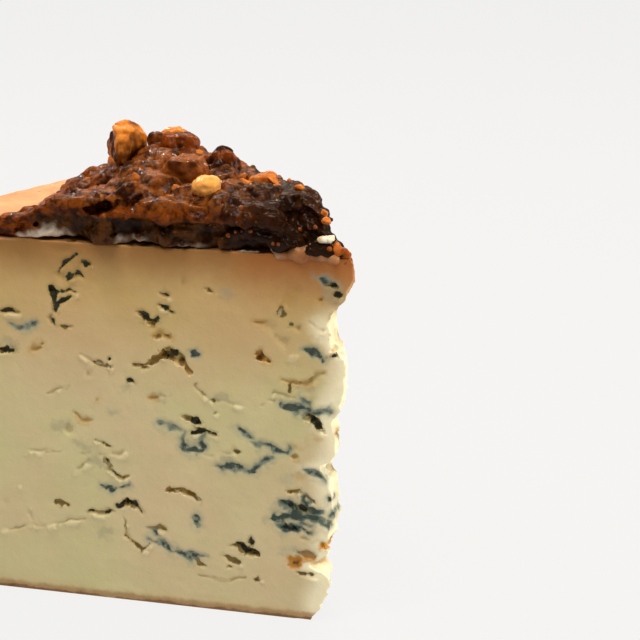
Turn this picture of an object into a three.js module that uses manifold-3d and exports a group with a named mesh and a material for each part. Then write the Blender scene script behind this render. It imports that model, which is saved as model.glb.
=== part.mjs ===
// A wedge cut from a small wheel of blue-veined cheese, an eighth of the wheel, with a layer of fig and nut paste on it.
// Millimetres, +Z up. The front cut face looks along -Y, the broken tip points along +X, and the rind is at -X.
// While it is built, the wheel's axis is the Z axis, and the front cut lies in the XZ plane. At the end the wedge is
// moved so that its box stands centred on the origin.
import * as THREE from "three";
import { mergeVertices } from "three/addons/utils/BufferGeometryUtils.js";
import Module from "manifold-3d";

const wasm = await Module();
wasm.setup();

// The wheel that the wedge was cut from.
const wheelRadius = 100;
const wheelHeight = 80;
const wedgeAngle = THREE.MathUtils.degToRad(45);
const shoulderRadius = 9; // rounding of the rind's top edge
const footRadius = 4; // rounding of the rind's bottom edge
const rindWave = 0.8; // unevenness of the rind all over
const rindWaveLength = 16;
// Shallow grooves that run round the rind.
const rindGrooves = [
  { height: 45, halfWidth: 12, depth: 3 },
  { height: 14, halfWidth: 6, depth: 2.2 },
  { height: 0, halfWidth: 7, depth: 3 },
];

// The broken tip. Loss is how much of the sharp edge is missing, measured along the front cut.
const tipBreak = { foot: 0, head: wheelHeight, footLoss: 9.3, headLoss: 2.2, roughness: 1.1 };
const tipLumpLength = 6;

// The layer of paste. It stops short of the rind, and a piece of it has come away with the tip.
const clearance = 0.3; // between neighbouring solids
const pasteThickness = 9.5;
const pasteEdgeThickness = 5;
const pasteLump = 1.3;
const pasteLumpLength = 9;
const pasteFrontReach = 78; // from the wheel's axis to the layer's edge, at the front cut
const pasteBackReach = 88; // and at the back cut
const pasteTear = 0.7; // how far its torn cut sides wander
const pasteBreak = { foot: wheelHeight, head: wheelHeight + 10, footLoss: 3.4, headLoss: 14, roughness: 1.1 };

const rindDirection = Math.PI; // of the front cut, counted round from +X
const backDirection = rindDirection - wedgeAngle;
const lerp = THREE.MathUtils.lerp;

// Smooth noise from -1 to 1: a fixed number at each corner of a unit lattice, blended across the cell.
function cornerNumber(i, j, k) {
  const spread = Math.sin(i * 127.1 + j * 311.7 + k * 74.7) * 43758.5453;
  return 2 * (spread - Math.floor(spread)) - 1;
}

function noise(x, y, z) {
  const [i, j, k] = [x, y, z].map(Math.floor);
  const [u, v, w] = [x - i, y - j, z - k].map((t) => t * t * (3 - 2 * t));
  const row = (dj, dk) => lerp(cornerNumber(i, j + dj, k + dk), cornerNumber(i + 1, j + dj, k + dk), u);
  return lerp(lerp(row(0, 0), row(1, 0), v), lerp(row(0, 1), row(1, 1), v), w);
}

// Noise with lumps of two sizes, the larger about lumpLength across. Each seed gives another pattern.
function lumps(p, lumpLength, seed) {
  const layer = (length) => noise(p.x / length + seed, p.y / length - seed, p.z / length + 7 * seed);
  return layer(lumpLength) + 0.5 * layer(lumpLength / 2);
}

// Edits every vertex of a geometry with change(point).
function reshape(geometry, change) {
  const places = geometry.getAttribute("position");
  const point = new THREE.Vector3();
  for (let i = 0; i < places.count; i++) {
    change(point.fromBufferAttribute(places, i));
    places.setXYZ(i, point.x, point.y, point.z);
  }
  return geometry;
}

function solidOf(geometry) {
  const plain = geometry.clone();
  plain.deleteAttribute("normal");
  plain.deleteAttribute("uv");
  const merged = mergeVertices(plain, 1e-4);
  const vertProperties = merged.getAttribute("position").array;
  const triVerts = new Uint32Array(merged.index.array);
  return new wasm.Manifold(new wasm.Mesh({ numProp: 3, vertProperties, triVerts }));
}

function geometryOf(solid) {
  const mesh = solid.getMesh();
  const geometry = new THREE.BufferGeometry();
  geometry.setAttribute("position", new THREE.BufferAttribute(mesh.vertProperties, 3));
  geometry.setIndex(new THREE.BufferAttribute(mesh.triVerts, 1));
  geometry.computeVertexNormals();
  return geometry;
}

// A profile of (radius, height) points, from axis to axis, turned round the Z axis.
function turned(profile, steps) {
  return new THREE.LatheGeometry(profile, steps).rotateX(Math.PI / 2);
}

// A prism whose outline is the wedge seen from above. tear(along, side) is how far a cut side stands out.
function wedgePrism(bottom, top, tear, steps) {
  const reach = 1.5 * wheelRadius;
  const outline = new THREE.Shape();
  for (let i = 0; i <= steps; i++) {
    const along = (reach * i) / steps;
    outline.lineTo(-along, -tear(along, 0));
  }
  for (let i = steps; i >= 1; i--) {
    const along = (reach * i) / steps;
    const out = tear(along, 1);
    const [cos, sin] = [Math.cos(backDirection), Math.sin(backDirection)];
    outline.lineTo(along * cos + out * sin, along * sin - out * cos);
  }
  outline.closePath();
  const prism = new THREE.ExtrudeGeometry(outline, { depth: top - bottom, bevelEnabled: false });
  return prism.translate(0, 0, bottom);
}

// What broke off the tip: a block with one rough face, square to the front cut and leaning.
function brokenTip(lean, seed) {
  const depth = 40;
  const width = 70;
  const height = 120;
  const block = new THREE.BoxGeometry(depth, width, height, 1, 24, 40);
  return reshape(block, (p) => {
    const rough = p.x < 0 ? lean.roughness * lumps(p, tipLumpLength, seed) : 0;
    p.z += wheelHeight / 2;
    const loss = lerp(lean.footLoss, lean.headLoss, (p.z - lean.foot) / (lean.head - lean.foot));
    p.x += depth / 2 - loss + rough;
  });
}

function rindRadius(height) {
  const grooves = rindGrooves.map((g) => g.depth * Math.exp(-(((height - g.height) / g.halfWidth) ** 2)));
  return wheelRadius - grooves.reduce((sum, depth) => sum + depth, 0);
}

// The wheel: flat above and below, rounded at its two edges, with an uneven rind.
function wheel() {
  const profile = [new THREE.Vector2(0, 0)];
  const cornerSteps = 5;
  const sideSteps = 22;
  const steps = 150;
  const corner = (radius, height, size, start) => {
    for (let i = 0; i <= cornerSteps; i++) {
      const turn = start + (Math.PI / 2) * (i / cornerSteps);
      profile.push(new THREE.Vector2(radius + size * Math.cos(turn), height + size * Math.sin(turn)));
    }
  };
  const shoulderHeight = wheelHeight - shoulderRadius;
  corner(rindRadius(0) - footRadius, footRadius, footRadius, -Math.PI / 2);
  for (let i = 1; i < sideSteps; i++) {
    const height = lerp(footRadius, shoulderHeight, i / sideSteps);
    profile.push(new THREE.Vector2(rindRadius(height), height));
  }
  corner(wheelRadius - shoulderRadius, shoulderHeight, shoulderRadius, 0);
  profile.push(new THREE.Vector2(0, wheelHeight));
  return reshape(turned(profile, steps), (p) => {
    const radius = Math.hypot(p.x, p.y);
    const onRind = p.z > 0.001 && p.z < wheelHeight - 0.001;
    const scale = onRind ? 1 + (rindWave * lumps(p, rindWaveLength, 0)) / radius : 1;
    p.multiply(new THREE.Vector3(scale, scale, 1));
  });
}

// A torn opening, as a flattened rough ball. A cut face runs through its middle.
function opening({ length, gape, depth }, seed) {
  return reshape(new THREE.IcosahedronGeometry(1, 2), (p) => {
    p.multiplyScalar(1 + 0.35 * noise(2 * p.x + seed, 2 * p.y, 2 * p.z));
    p.multiply(new THREE.Vector3(length / 2, depth, gape / 2));
  });
}

// The largest openings of the front cut, each at its distance from the wheel's axis and its height.
const frontOpenings = [
  { from: 40, height: 57, length: 13, gape: 3.4, depth: 2.2, tilt: 12 },
  { from: 23.8, height: 15.5, length: 4, gape: 4.2, depth: 2.4, tilt: -20 },
  { from: 62.5, height: 67, length: 2.6, gape: 6, depth: 1.6, tilt: 8 },
  { from: 42.5, height: 64.7, length: 3.4, gape: 2.4, depth: 1.5, tilt: 35 },
  { from: 36.5, height: 26.7, length: 6.5, gape: 2, depth: 1.6, tilt: 14 },
  { from: 13, height: 13.2, length: 5, gape: 2.8, depth: 1.6, tilt: -25 },
];
const backOpeningCount = 7;

function openings() {
  const onFront = frontOpenings.map((o, i) =>
    opening(o, i).rotateY(THREE.MathUtils.degToRad(o.tilt)).translate(-o.from, 0, o.height),
  );
  const onBack = Array.from({ length: backOpeningCount }, (_, i) => {
    const from = 24 + 62 * ((i * 0.618) % 1);
    const height = 14 + 52 * ((i * 0.377 + 0.2) % 1);
    return opening({ length: 5 + 2.5 * (i % 3), gape: 2.4 + (i % 2), depth: 1.8 }, 20 + i)
      .rotateY(0.5 * Math.sin(3 * i))
      .rotateZ(backDirection)
      .translate(from * Math.cos(backDirection), from * Math.sin(backDirection), height);
  });
  return [...onFront, ...onBack];
}

function cheese() {
  const margin = 10;
  const whole = solidOf(wheel());
  const straight = solidOf(wedgePrism(-margin, wheelHeight + margin, () => 0, 1));
  const broken = solidOf(brokenTip(tipBreak, 1));
  const wedge = whole.intersect(straight).subtract(broken);
  return openings().reduce((solid, hole) => solid.subtract(solidOf(hole)), wedge);
}

// How far the layer of paste reaches from the wheel's axis in a direction between the two cuts.
function pasteReach(direction) {
  const share = (rindDirection - direction) / wedgeAngle;
  return lerp(pasteFrontReach, pasteBackReach, THREE.MathUtils.smoothstep(share, 0.2, 0.8));
}

// The whole layer, as a low lumpy cake of radius 1 and height 1 that is then spread to its real size.
function pasteCake() {
  const edgeShare = pasteEdgeThickness / pasteThickness;
  const topRadius = 0.96;
  const edgeSteps = 4;
  const rings = 24;
  const steps = 140;
  const profile = [new THREE.Vector2(0, 0)];
  for (let i = 0; i <= edgeSteps; i++) {
    const turn = (Math.PI / 2) * (i / edgeSteps);
    const radius = lerp(topRadius, 1, Math.cos(turn));
    profile.push(new THREE.Vector2(radius, edgeShare * Math.sin(turn)));
  }
  for (let i = rings - 1; i >= 0; i--) {
    const share = i / rings;
    profile.push(new THREE.Vector2(topRadius * share, 1 - (1 - edgeShare) * share ** 6));
  }
  return reshape(turned(profile, steps), (p) => {
    const reach = pasteReach(Math.atan2(p.y, p.x));
    const rise = p.z;
    p.set(p.x * reach, p.y * reach, wheelHeight + clearance + rise * pasteThickness);
    p.z += rise * pasteLump * lumps(p, pasteLumpLength, 2);
  });
}

// The hollow where a lump has fallen out of the layer's front, close to the tip.
const pasteHollow = { from: 12.5, rise: 5, length: 8.5, gape: 6.5, depth: 4.5 };

function paste(pockets) {
  const tear = (along, side) => pasteTear * noise(along / 5, 3 + 9 * side, 0.5);
  const torn = solidOf(wedgePrism(wheelHeight - 5, wheelHeight + 30, tear, 50));
  const broken = solidOf(brokenTip(pasteBreak, 4));
  const hollow = opening(pasteHollow, 40).translate(-pasteHollow.from, 0, wheelHeight + pasteHollow.rise);
  const layer = solidOf(pasteCake()).intersect(torn).subtract(broken).subtract(solidOf(hollow));
  return pockets.reduce((solid, pocket) => solid.subtract(solidOf(pocket)), layer);
}

// The nut pieces: distance from the wheel's axis, angle behind the front cut in degrees, height of the middle
// above the cheese, and sizes.
const nutPieces = [
  { from: 60.7, angle: 25, rise: 14, size: [9, 9, 9.5] },
  { from: 54, angle: 34, rise: 13, size: [9, 8.5, 8.5] },
  { from: 39, angle: 33, rise: 12, size: [9.5, 8.5, 8] },
  { from: 42, angle: 22, rise: 11.5, size: [10, 8, 7] },
  { from: 32.5, angle: 10, rise: 11, size: [6, 5.5, 5] },
  { from: 29, angle: 36, rise: 9, size: [6.5, 5.5, 5.5] },
  { from: 72, angle: 32, rise: 11, size: [9.5, 8, 8] },
  { from: 67, angle: 41, rise: 10.5, size: [8, 7.5, 8] },
  { from: 80, angle: 38, rise: 8, size: [8.5, 8, 7] },
];

// A chopped nut piece, a rough ball with two broken sides, and the pocket that it leaves in the paste.
function nutPiece(piece, number) {
  const turn = new THREE.Euler(1.7 * number, 2.3 * number, 0.9 * number);
  const brokenSides = [new THREE.Vector3(1, 0.3, 0.2), new THREE.Vector3(-0.2, 0.9, -0.5)];
  const flatAt = 0.72;
  const direction = rindDirection - THREE.MathUtils.degToRad(piece.angle);
  const shape = (grow) =>
    reshape(new THREE.IcosahedronGeometry(1, 2), (p) => {
      p.multiplyScalar(1 + 0.16 * noise(1.8 * p.x + number, 1.8 * p.y, 1.8 * p.z));
      for (const side of brokenSides) {
        const normal = side.clone().normalize().applyEuler(turn);
        p.addScaledVector(normal, -Math.max(0, p.dot(normal) - flatAt));
      }
    })
      .scale(...piece.size.map((size) => size / 2 + grow))
      .rotateZ(0.8 * number)
      .translate(piece.from * Math.cos(direction), piece.from * Math.sin(direction), wheelHeight + piece.rise);
  return { name: `nut_piece_${number + 1}`, body: shape(0), pocket: shape(clearance) };
}

function named(name, geometry, color, roughness) {
  const finish = new THREE.MeshStandardMaterial({ color, roughness, metalness: 0 });
  const mesh = new THREE.Mesh(geometry, finish);
  mesh.name = name;
  return mesh;
}

const nuts = nutPieces.map(nutPiece);
const wedge = new THREE.Group();
wedge.add(named("cheese_wedge", geometryOf(cheese()), 0xddcfa2, 0.55));
wedge.add(named("fig_nut_paste", geometryOf(paste(nuts.map((nut) => nut.pocket))), 0x6b3a1c, 0.3));
for (const nut of nuts) wedge.add(named(nut.name, nut.body, 0xa8642e, 0.4));

const box = new THREE.Box3().setFromObject(wedge);
const centre = box.getCenter(new THREE.Vector3());
wedge.position.set(-centre.x, -centre.y, -box.min.z);

export default wedge;
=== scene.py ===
# %% [markdown]
# # A wedge of blue cheese with fig and nut paste
# This lesson gives a blue cheese wedge its looks. The wedge's solids come in as a fixed frame, in
# metres, with +Z up. Each one is then replaced by a finer piece that lies in the same place: the
# cheese with its veins, the sticky paste, and the glazed nuts. Seeds, chips and crumbs are added at
# true size. Everything that repeats is made by a function, and everything random is seeded, so that
# the same wedge comes out of every run.

# %% Load the frame
import contextlib
import itertools
import math
import random

import bpy
import numpy as np
from mathutils import Euler, Matrix, Vector


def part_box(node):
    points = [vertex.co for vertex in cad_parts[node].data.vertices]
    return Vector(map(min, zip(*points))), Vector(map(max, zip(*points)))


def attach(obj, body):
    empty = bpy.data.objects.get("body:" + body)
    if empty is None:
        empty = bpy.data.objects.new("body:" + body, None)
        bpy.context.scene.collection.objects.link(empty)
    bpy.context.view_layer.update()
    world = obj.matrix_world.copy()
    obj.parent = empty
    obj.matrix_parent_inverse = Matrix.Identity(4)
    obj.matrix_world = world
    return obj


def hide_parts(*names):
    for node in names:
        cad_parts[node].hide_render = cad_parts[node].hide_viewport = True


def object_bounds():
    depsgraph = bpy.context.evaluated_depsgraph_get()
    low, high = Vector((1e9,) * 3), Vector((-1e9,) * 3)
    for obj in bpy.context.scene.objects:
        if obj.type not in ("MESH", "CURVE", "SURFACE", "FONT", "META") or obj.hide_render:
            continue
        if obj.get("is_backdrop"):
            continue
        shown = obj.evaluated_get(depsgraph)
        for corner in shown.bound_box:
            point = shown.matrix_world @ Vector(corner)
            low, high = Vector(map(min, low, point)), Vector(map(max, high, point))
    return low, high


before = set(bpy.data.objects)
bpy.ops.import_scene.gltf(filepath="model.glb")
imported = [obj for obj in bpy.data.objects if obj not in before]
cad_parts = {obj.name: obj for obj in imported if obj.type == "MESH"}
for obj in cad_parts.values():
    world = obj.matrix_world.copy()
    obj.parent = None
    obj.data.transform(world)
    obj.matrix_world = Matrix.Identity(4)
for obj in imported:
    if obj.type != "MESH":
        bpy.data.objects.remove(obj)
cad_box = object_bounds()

print("nodes", sorted(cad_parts))

# %% [markdown]
# ## The wedge's own measures
# The cheese is an eighth of a wheel. Its two cut faces are planes that meet in the wheel's axis: the
# front cut looks along -Y, and the back cut is turned 45 degrees from it. Every place on the wedge is
# easiest to give as a distance from that axis and a height, so the axis is worked out from the frame.
# The back cut ends where the solid reaches furthest in +Y, and from that corner the cut runs to the
# axis at 45 degrees.

# %% Places on the wedge
MM = 0.001
WEDGE = math.radians(45)
RADIUS = 100 * MM
cheese_low, cheese_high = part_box("cheese_wedge")
HEIGHT = cheese_high.z
FRONT = cheese_low.y
corner = max((v.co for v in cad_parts["cheese_wedge"].data.vertices), key=lambda p: p.y)
AXIS = Vector((corner.x + (corner.y - FRONT) / math.tan(WEDGE), FRONT, 0))


def front(distance, height, depth=0.0):
    """A point by its millimetres from the wheel's axis, above the base and behind the front cut."""
    return AXIS + Vector((-distance, depth, height)) * MM


def turned(distance, angle, height):
    """A point by its distance from the axis, angle behind the front cut in degrees and height."""
    way = math.pi - math.radians(angle)
    return AXIS + Vector((distance * math.cos(way), distance * math.sin(way), height)) * MM


print("axis", [round(c / MM, 2) for c in AXIS], "height", round(HEIGHT / MM, 2))

# %% [markdown]
# ## Tools for modelling
# The pieces are modelled as by hand: a primitive is added, shaped in edit mode and finished with
# modifiers. Organic unevenness is sculpted instead, by moving every vertex by a smooth noise, because
# no modifier knows where the rind or the broken tip is. The noise gives each corner of a lattice a
# fixed number and blends them, so it comes out the same in every run.


# %% Selecting, modifiers and sculpting
def only(piece):
    """Selects one object alone and makes it active."""
    bpy.ops.object.select_all(action="DESELECT")
    piece.select_set(True)
    bpy.context.view_layer.objects.active = piece
    return piece


def named(piece, name):
    """Names a piece and its mesh."""
    piece.name = piece.data.name = name
    return piece


def made(name):
    """The object that the last operator added, under its own name and alone selected."""
    return only(named(bpy.context.object, name))


@contextlib.contextmanager
def editing(piece):
    """Edit mode on one piece with all of it selected, and back again."""
    only(piece)
    bpy.ops.object.mode_set(mode="EDIT")
    bpy.ops.mesh.select_all(action="SELECT")
    yield
    bpy.ops.object.mode_set(mode="OBJECT")


def joined(piece, *others):
    """Joins other pieces into the first one."""
    only(piece)
    for other in others:
        other.select_set(True)
    bpy.ops.object.join()
    return only(piece)


def shaded(piece):
    """Shades a piece smoothly all over."""
    only(piece)
    bpy.ops.object.shade_smooth()
    return piece


def settle(piece):
    """Puts a piece's place, turn and size into its mesh."""
    only(piece)
    bpy.ops.object.transform_apply(location=True, rotation=True, scale=True)
    return piece


def modify(piece, kind, **settings):
    """Adds a modifier with its settings and applies it."""
    only(piece)
    modifier = piece.modifiers.new(kind.lower(), kind)
    for key, value in settings.items():
        setattr(modifier, key, value)
    bpy.ops.object.modifier_apply(modifier=modifier.name)
    return piece


def places(piece):
    """All vertex places of a piece, as rows of x, y and z."""
    rows = np.empty(3 * len(piece.data.vertices))
    piece.data.vertices.foreach_get("co", rows)
    return rows.reshape(-1, 3)


def normals(piece):
    """All vertex normals of a piece, as rows of x, y and z."""
    rows = np.empty(3 * len(piece.data.vertices), np.float32)
    piece.data.vertex_normals.foreach_get("vector", rows)
    return rows.reshape(-1, 3).astype(float)


def place(piece, rows):
    """Moves the vertices of a piece to new places."""
    piece.data.vertices.foreach_set("co", np.asarray(rows, float).ravel())
    piece.data.update()
    return piece


def remember(piece, name, values):
    """Stores one number on each vertex, under a name that a material can read."""
    attribute = piece.data.attributes.new(name, "FLOAT", "POINT")
    attribute.data.foreach_set("value", np.asarray(values, np.float32))


def lattice(corner, seed):
    """A fixed number from -1 to 1 for each whole-numbered corner."""
    mixed = corner @ np.array([374761393, 668265263, 2147483647]) + seed * 1274126177
    mixed = ((mixed & 0xFFFFFFFF) ^ ((mixed & 0xFFFFFFFF) >> 13)) * 1274126177 & 0xFFFFFFFF
    return ((mixed ^ (mixed >> 16)) & 0xFFFF) / 32767.5 - 1


def lumps(rows, size, seed=0):
    """Smooth noise from -1 to 1 at each place, with lumps of that size in millimetres."""
    scaled = rows / (size * MM)
    cell = np.floor(scaled).astype(np.int64)
    share = scaled - cell
    share = share * share * (3 - 2 * share)
    total = np.zeros(len(rows))
    for step in itertools.product((0, 1), repeat=3):
        weight = np.prod(np.where(step, share, 1 - share), axis=1)
        total += weight * lattice(cell + np.array(step), seed)
    return total


def smooth(value, low, high):
    """0 below low, 1 above high, and a smooth step between them. High may be the smaller one."""
    share = np.clip((value - low) / (high - low), 0, 1)
    return share * share * (3 - 2 * share)


def copies(name, shapes, spots):
    """One piece of many copies. Each spot is a shape's number, a place, a turn and three sizes."""
    made_copies = []
    for number, spot, turn, size in spots:
        copy = bpy.data.objects.new(name, shapes[number].data.copy())
        copy.data.transform(Matrix.LocRotScale(Vector(spot), turn, Vector(size)))
        bpy.context.scene.collection.objects.link(copy)
        made_copies.append(copy)
    for shape in shapes:
        bpy.data.objects.remove(shape)
    return named(joined(*made_copies), name)


def ball(detail, rough=0.0, seed=0, size=1.0):
    """A ball of radius 1, made uneven by noise of the given size."""
    bpy.ops.object.select_all(action="DESELECT")
    bpy.ops.mesh.primitive_ico_sphere_add(subdivisions=detail, radius=1)
    shape = made("ball")
    rows = places(shape)
    return place(shape, rows * (1 + rough * lumps(rows * MM, size, seed))[:, None])


def count(piece):
    """The number of triangles in a piece."""
    piece.data.calc_loop_triangles()
    return len(piece.data.loop_triangles)


def box_mm(rows):
    """The lowest and highest of some places, in millimetres."""
    return [[round(c / MM, 1) for c in row] for row in (rows.min(0), rows.max(0))]

# %% [markdown]
# ## The cheese: an eighth of a wheel
# The front cut is a grid of small squares, and spinning it round the wheel's axis sweeps the whole
# wedge in one go, with the back cut as its far end. The grid starts a little way from the axis, so
# that no edge shrinks to a point: the sharp tip breaks off later anyway. The squares of the cuts are
# 0.6 mm wide, which is fine enough for most stains that are stored on the vertices. The paste is spun
# by the same function.

# %% Spin the wedge
CHEESE_START = 1.5
CHEESE_SQUARE = 0.6
CHEESE_STEPS = 58
DOUBLES = 0.01 * MM


def spun(name, start, wide, low, tall, square, steps):
    """A slab of the front cut, from a start and a low edge in millimetres, spun through the wedge."""
    bpy.ops.object.select_all(action="DESELECT")
    bpy.ops.mesh.primitive_grid_add(
        x_subdivisions=round(wide / square),
        y_subdivisions=round(tall / square),
        size=1,
        location=front(start + wide / 2, low + tall / 2),
        rotation=(math.radians(90), 0, 0),
    )
    slab = made(name)
    slab.scale = (wide * MM, tall * MM, 1)
    settle(slab)
    with editing(slab):
        bpy.ops.mesh.spin(steps=steps, angle=WEDGE, center=AXIS, axis=(0, 0, 1))
        bpy.ops.mesh.select_all(action="SELECT")
        bpy.ops.mesh.remove_doubles(threshold=DOUBLES)
        bpy.ops.mesh.normals_make_consistent(inside=False)
    return slab


top = HEIGHT / MM
rim = RADIUS / MM
cheese = spun("blue_cheese", CHEESE_START, rim - CHEESE_START, 0, top, CHEESE_SQUARE, CHEESE_STEPS)
print("wedge", count(cheese), "triangles, box", box_mm(places(cheese)))

# %% [markdown]
# ## Rind, shoulder and foot
# A small wheel slumps a little while it ripens, and the boards and cloths that it lies on leave
# shallow grooves round its side. So the rind isn't a straight wall: it has a round shoulder, a
# tighter foot, two grooves and gentle waves. Each vertex is moved in its own half-plane through the
# axis, so the two cut faces stay flat.

# %% Shape the rind
SHOULDER = 9
FOOT = 4
GROOVES = [(45, 12, 3.0), (14, 6, 2.2), (0, 7, 3.0)]


def polar(rows):
    """Distance from the axis in millimetres, angle behind the front cut in degrees, and height."""
    aside = (rows - np.array(AXIS)) / MM
    angle = np.degrees(np.arctan2(aside[:, 1], -aside[:, 0]))
    return np.hypot(aside[:, 0], aside[:, 1]), angle, aside[:, 2]


def rind_reach(height):
    """The rind's distance from the axis at a height, before its waves, in millimetres."""
    return rim - sum(deep * np.exp(-(((height - at) / half) ** 2)) for at, half, deep in GROOVES)


def unpolar(distance, angle, height):
    """Places from distances, angles and heights."""
    way = np.radians(180 - angle)
    rows = np.stack([distance * np.cos(way), distance * np.sin(way), height], axis=1) * MM
    return rows + np.array(AXIS)


def round_corner(distance, height, reach, at, size, up):
    """Rounds the square corner of the side. Up is 1 at the shoulder and -1 at the foot."""
    out = distance - (reach - size)
    rise = (height - at) * up + size
    inside = (out > 0) & (rise > 0)
    far = np.maximum(np.hypot(out, rise), 1e-9)
    shrink = np.where(inside, np.maximum(out, rise) / far, 1)
    rounded = reach - size + out * shrink, at + (rise * shrink - size) * up
    return np.where(inside, rounded[0], distance), np.where(inside, rounded[1], height)


rows = places(cheese)
distance, angle, height = polar(rows)
distance, height = round_corner(distance, height, rim, top, SHOULDER, 1)
distance, height = round_corner(distance, height, rim, 0, FOOT, -1)
near_rind = smooth(distance, 60, 96)
wave = 0.8 * lumps(rows, 16, 1) + 0.35 * lumps(rows, 5, 2) + 0.15 * lumps(rows, 2.2, 3)
distance = distance + near_rind * (rind_reach(height) - rim + wave)
place(cheese, unpolar(distance, angle, height))

# %% [markdown]
# ## The broken tip
# A blade never leaves a sharp tip on a blue cheese: the last crumbs break off. What broke off is cut
# away with a block whose face is as rough as the break, which gives the cheese real lumps and hollows
# there, in outline too. More is missing at the base than at the top. The face's grid is finer than
# the cheese's, because the break catches light, and the break is smoothed a little, because curds
# have round edges.

# %% Break the tip
TIP_LOSS_FOOT = 9.0
TIP_LOSS_HEAD = 2.3
TIP_STEPS = [(66, 2.9, 4), (56, -1.6, 5), (45.5, 1.0, 1.5), (40, -0.9, 3), (35, 2.6, 1.7)]
TIP_STEPS += [(24, -1.8, 8), (13, 2.6, 1.4), (9, -1.0, 2.5), (77, -0.6, 3)]
BLOCK_DEEP = 30 * MM
TIP_END = 13
TIP_SMOOTHING = 3


def lean(height):
    """How far the break stands from the wheel's axis at a height, in millimetres."""
    steps = sum(loss * np.exp(-(((height - at) / half) ** 2)) for at, loss, half in TIP_STEPS)
    return TIP_LOSS_FOOT + (TIP_LOSS_HEAD - TIP_LOSS_FOOT) * height / top + steps


def break_block(name, width, low, high, loss, rough, square=0.45):
    """A block past the tip, with its rough face turned to -X."""
    bpy.ops.object.select_all(action="DESELECT")
    bpy.ops.mesh.primitive_grid_add(
        x_subdivisions=round((high - low) / square),
        y_subdivisions=round(width / square),
        size=1,
        rotation=(0, math.radians(90), 0),
    )
    block = made(name)
    block.scale = (high - low, width, 1)
    block.scale *= MM
    block.location = AXIS + Vector((0, 0.3 * width, (low + high) / 2)) * MM
    settle(block)
    with editing(block):
        bpy.ops.mesh.extrude_region_move(TRANSFORM_OT_translate={"value": (BLOCK_DEEP, 0, 0)})
        bpy.ops.mesh.select_all(action="SELECT")
        bpy.ops.mesh.normals_make_consistent(inside=False)
    rows = places(block)
    face = rows[:, 0] < AXIS.x + 1 * MM
    rows[:, 0] -= loss(rows[:, 2] / MM) * MM
    rows[:, 0] += np.where(face, rough(rows) * MM, 0)
    return place(block, rows)


def curds(rows, size, seed):
    """Round lumps like curds: 1 at the middle of each and 0 in the creases between them."""
    return 1 - np.abs(lumps(rows, size, seed))


def tip_rough(rows):
    """The break's roughness in millimetres, towards the cheese where it is negative."""
    return (
        1.0 * lumps(rows, 7, 11)
        + 1.7 * (curds(rows, 4.6, 12) - 0.6)
        + 0.9 * (curds(rows, 1.9, 13) - 0.6)
        + 0.35 * lumps(rows, 0.95, 14)
    )


def cut(piece, cutter):
    """Takes one closed piece away from another, and removes the cutter."""
    modify(piece, "BOOLEAN", operation="DIFFERENCE", object=cutter, solver="MANIFOLD")
    bpy.data.objects.remove(cutter)
    return piece


cut(cheese, break_block("broken_tip", 30, -6, 90, lean, tip_rough))
tip_group = cheese.vertex_groups.new(name="tip")
tip_group.add(np.flatnonzero(polar(places(cheese))[0] < TIP_END).tolist(), 1.0, "REPLACE")
modify(cheese, "SMOOTH", factor=0.5, iterations=TIP_SMOOTHING, vertex_group="tip")
print("cheese with a broken tip", count(cheese), "triangles")

# %% [markdown]
# ## Where the mould grew
# Blue mould grows where air got into the cheese: in the gaps between the curds and along the needle
# channels. A cut shows these gaps as short, bent strokes, some open and some closed, with a soft
# bluish or olive stain round them. A noise texture alone gives an even marbling, which looks like
# stone, so the strokes are drawn instead: each one is a half width and a line of points on the cut,
# in millimetres from the axis and above the base. The strokes are grouped by look: dark olive, slate
# blue, thin olive cracks, tan spots, grey haze and the pale creases that the blade left.

# %% Strokes on the front cut
DARK = [
    (0.35, (57.5, 77.5), (60, 76), (62, 73.5)),
    (0.3, (56.5, 76), (55, 75.5)),
    (0.7, (60, 72), (58, 73.5), (56.5, 73)),
    (0.9, (63.5, 70), (63, 68)),
    (0.45, (63, 68), (63, 65)),
    (0.35, (62, 67), (59.5, 68.5)),
    (0.25, (61.5, 69.5), (58.5, 69.5)),
    (0.4, (64, 64), (63.5, 62.5)),
    (0.6, (75.5, 55.5), (73, 56)),
    (0.5, (75, 64.5), (71.5, 64.5)),
    (0.4, (40.5, 70.5), (39, 70)),
    (0.3, (41, 68), (39.5, 67.5), (38, 66.5)),
    (0.45, (45.5, 66), (44, 65.5), (42, 64), (41, 65.5)),
    (0.5, (39.5, 57), (37.5, 58.5)),
    (0.3, (52, 56)),
    (0.3, (48, 51.5), (47, 51)),
    (0.4, (54, 33), (53, 32)),
    (0.45, (53.5, 31), (52, 29.5), (50.5, 29), (49, 29.5)),
    (0.4, (51.5, 22), (49.5, 23.5), (48, 23), (46.5, 21.5)),
    (0.5, (35, 43.5), (33, 43)),
    (0.45, (34.5, 41), (33, 41.5), (31.5, 41), (30, 40.5)),
    (1.1, (23.5, 14.5), (22, 14.5)),
    (0.5, (26, 16), (24, 15.5)),
    (0.4, (23, 18), (22.5, 16)),
    (0.4, (6.5, 74.5), (5, 74)),
    (0.4, (5, 72), (4, 72.5)),
    (0.35, (5, 69), (5, 65.5)),
    (0.5, (12.5, 26), (10.5, 25.5)),
    (0.4, (58.5, 20), (55.5, 20.5), (53, 21)),
    (0.45, (10.5, 46.5), (8, 44)),
]
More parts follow.
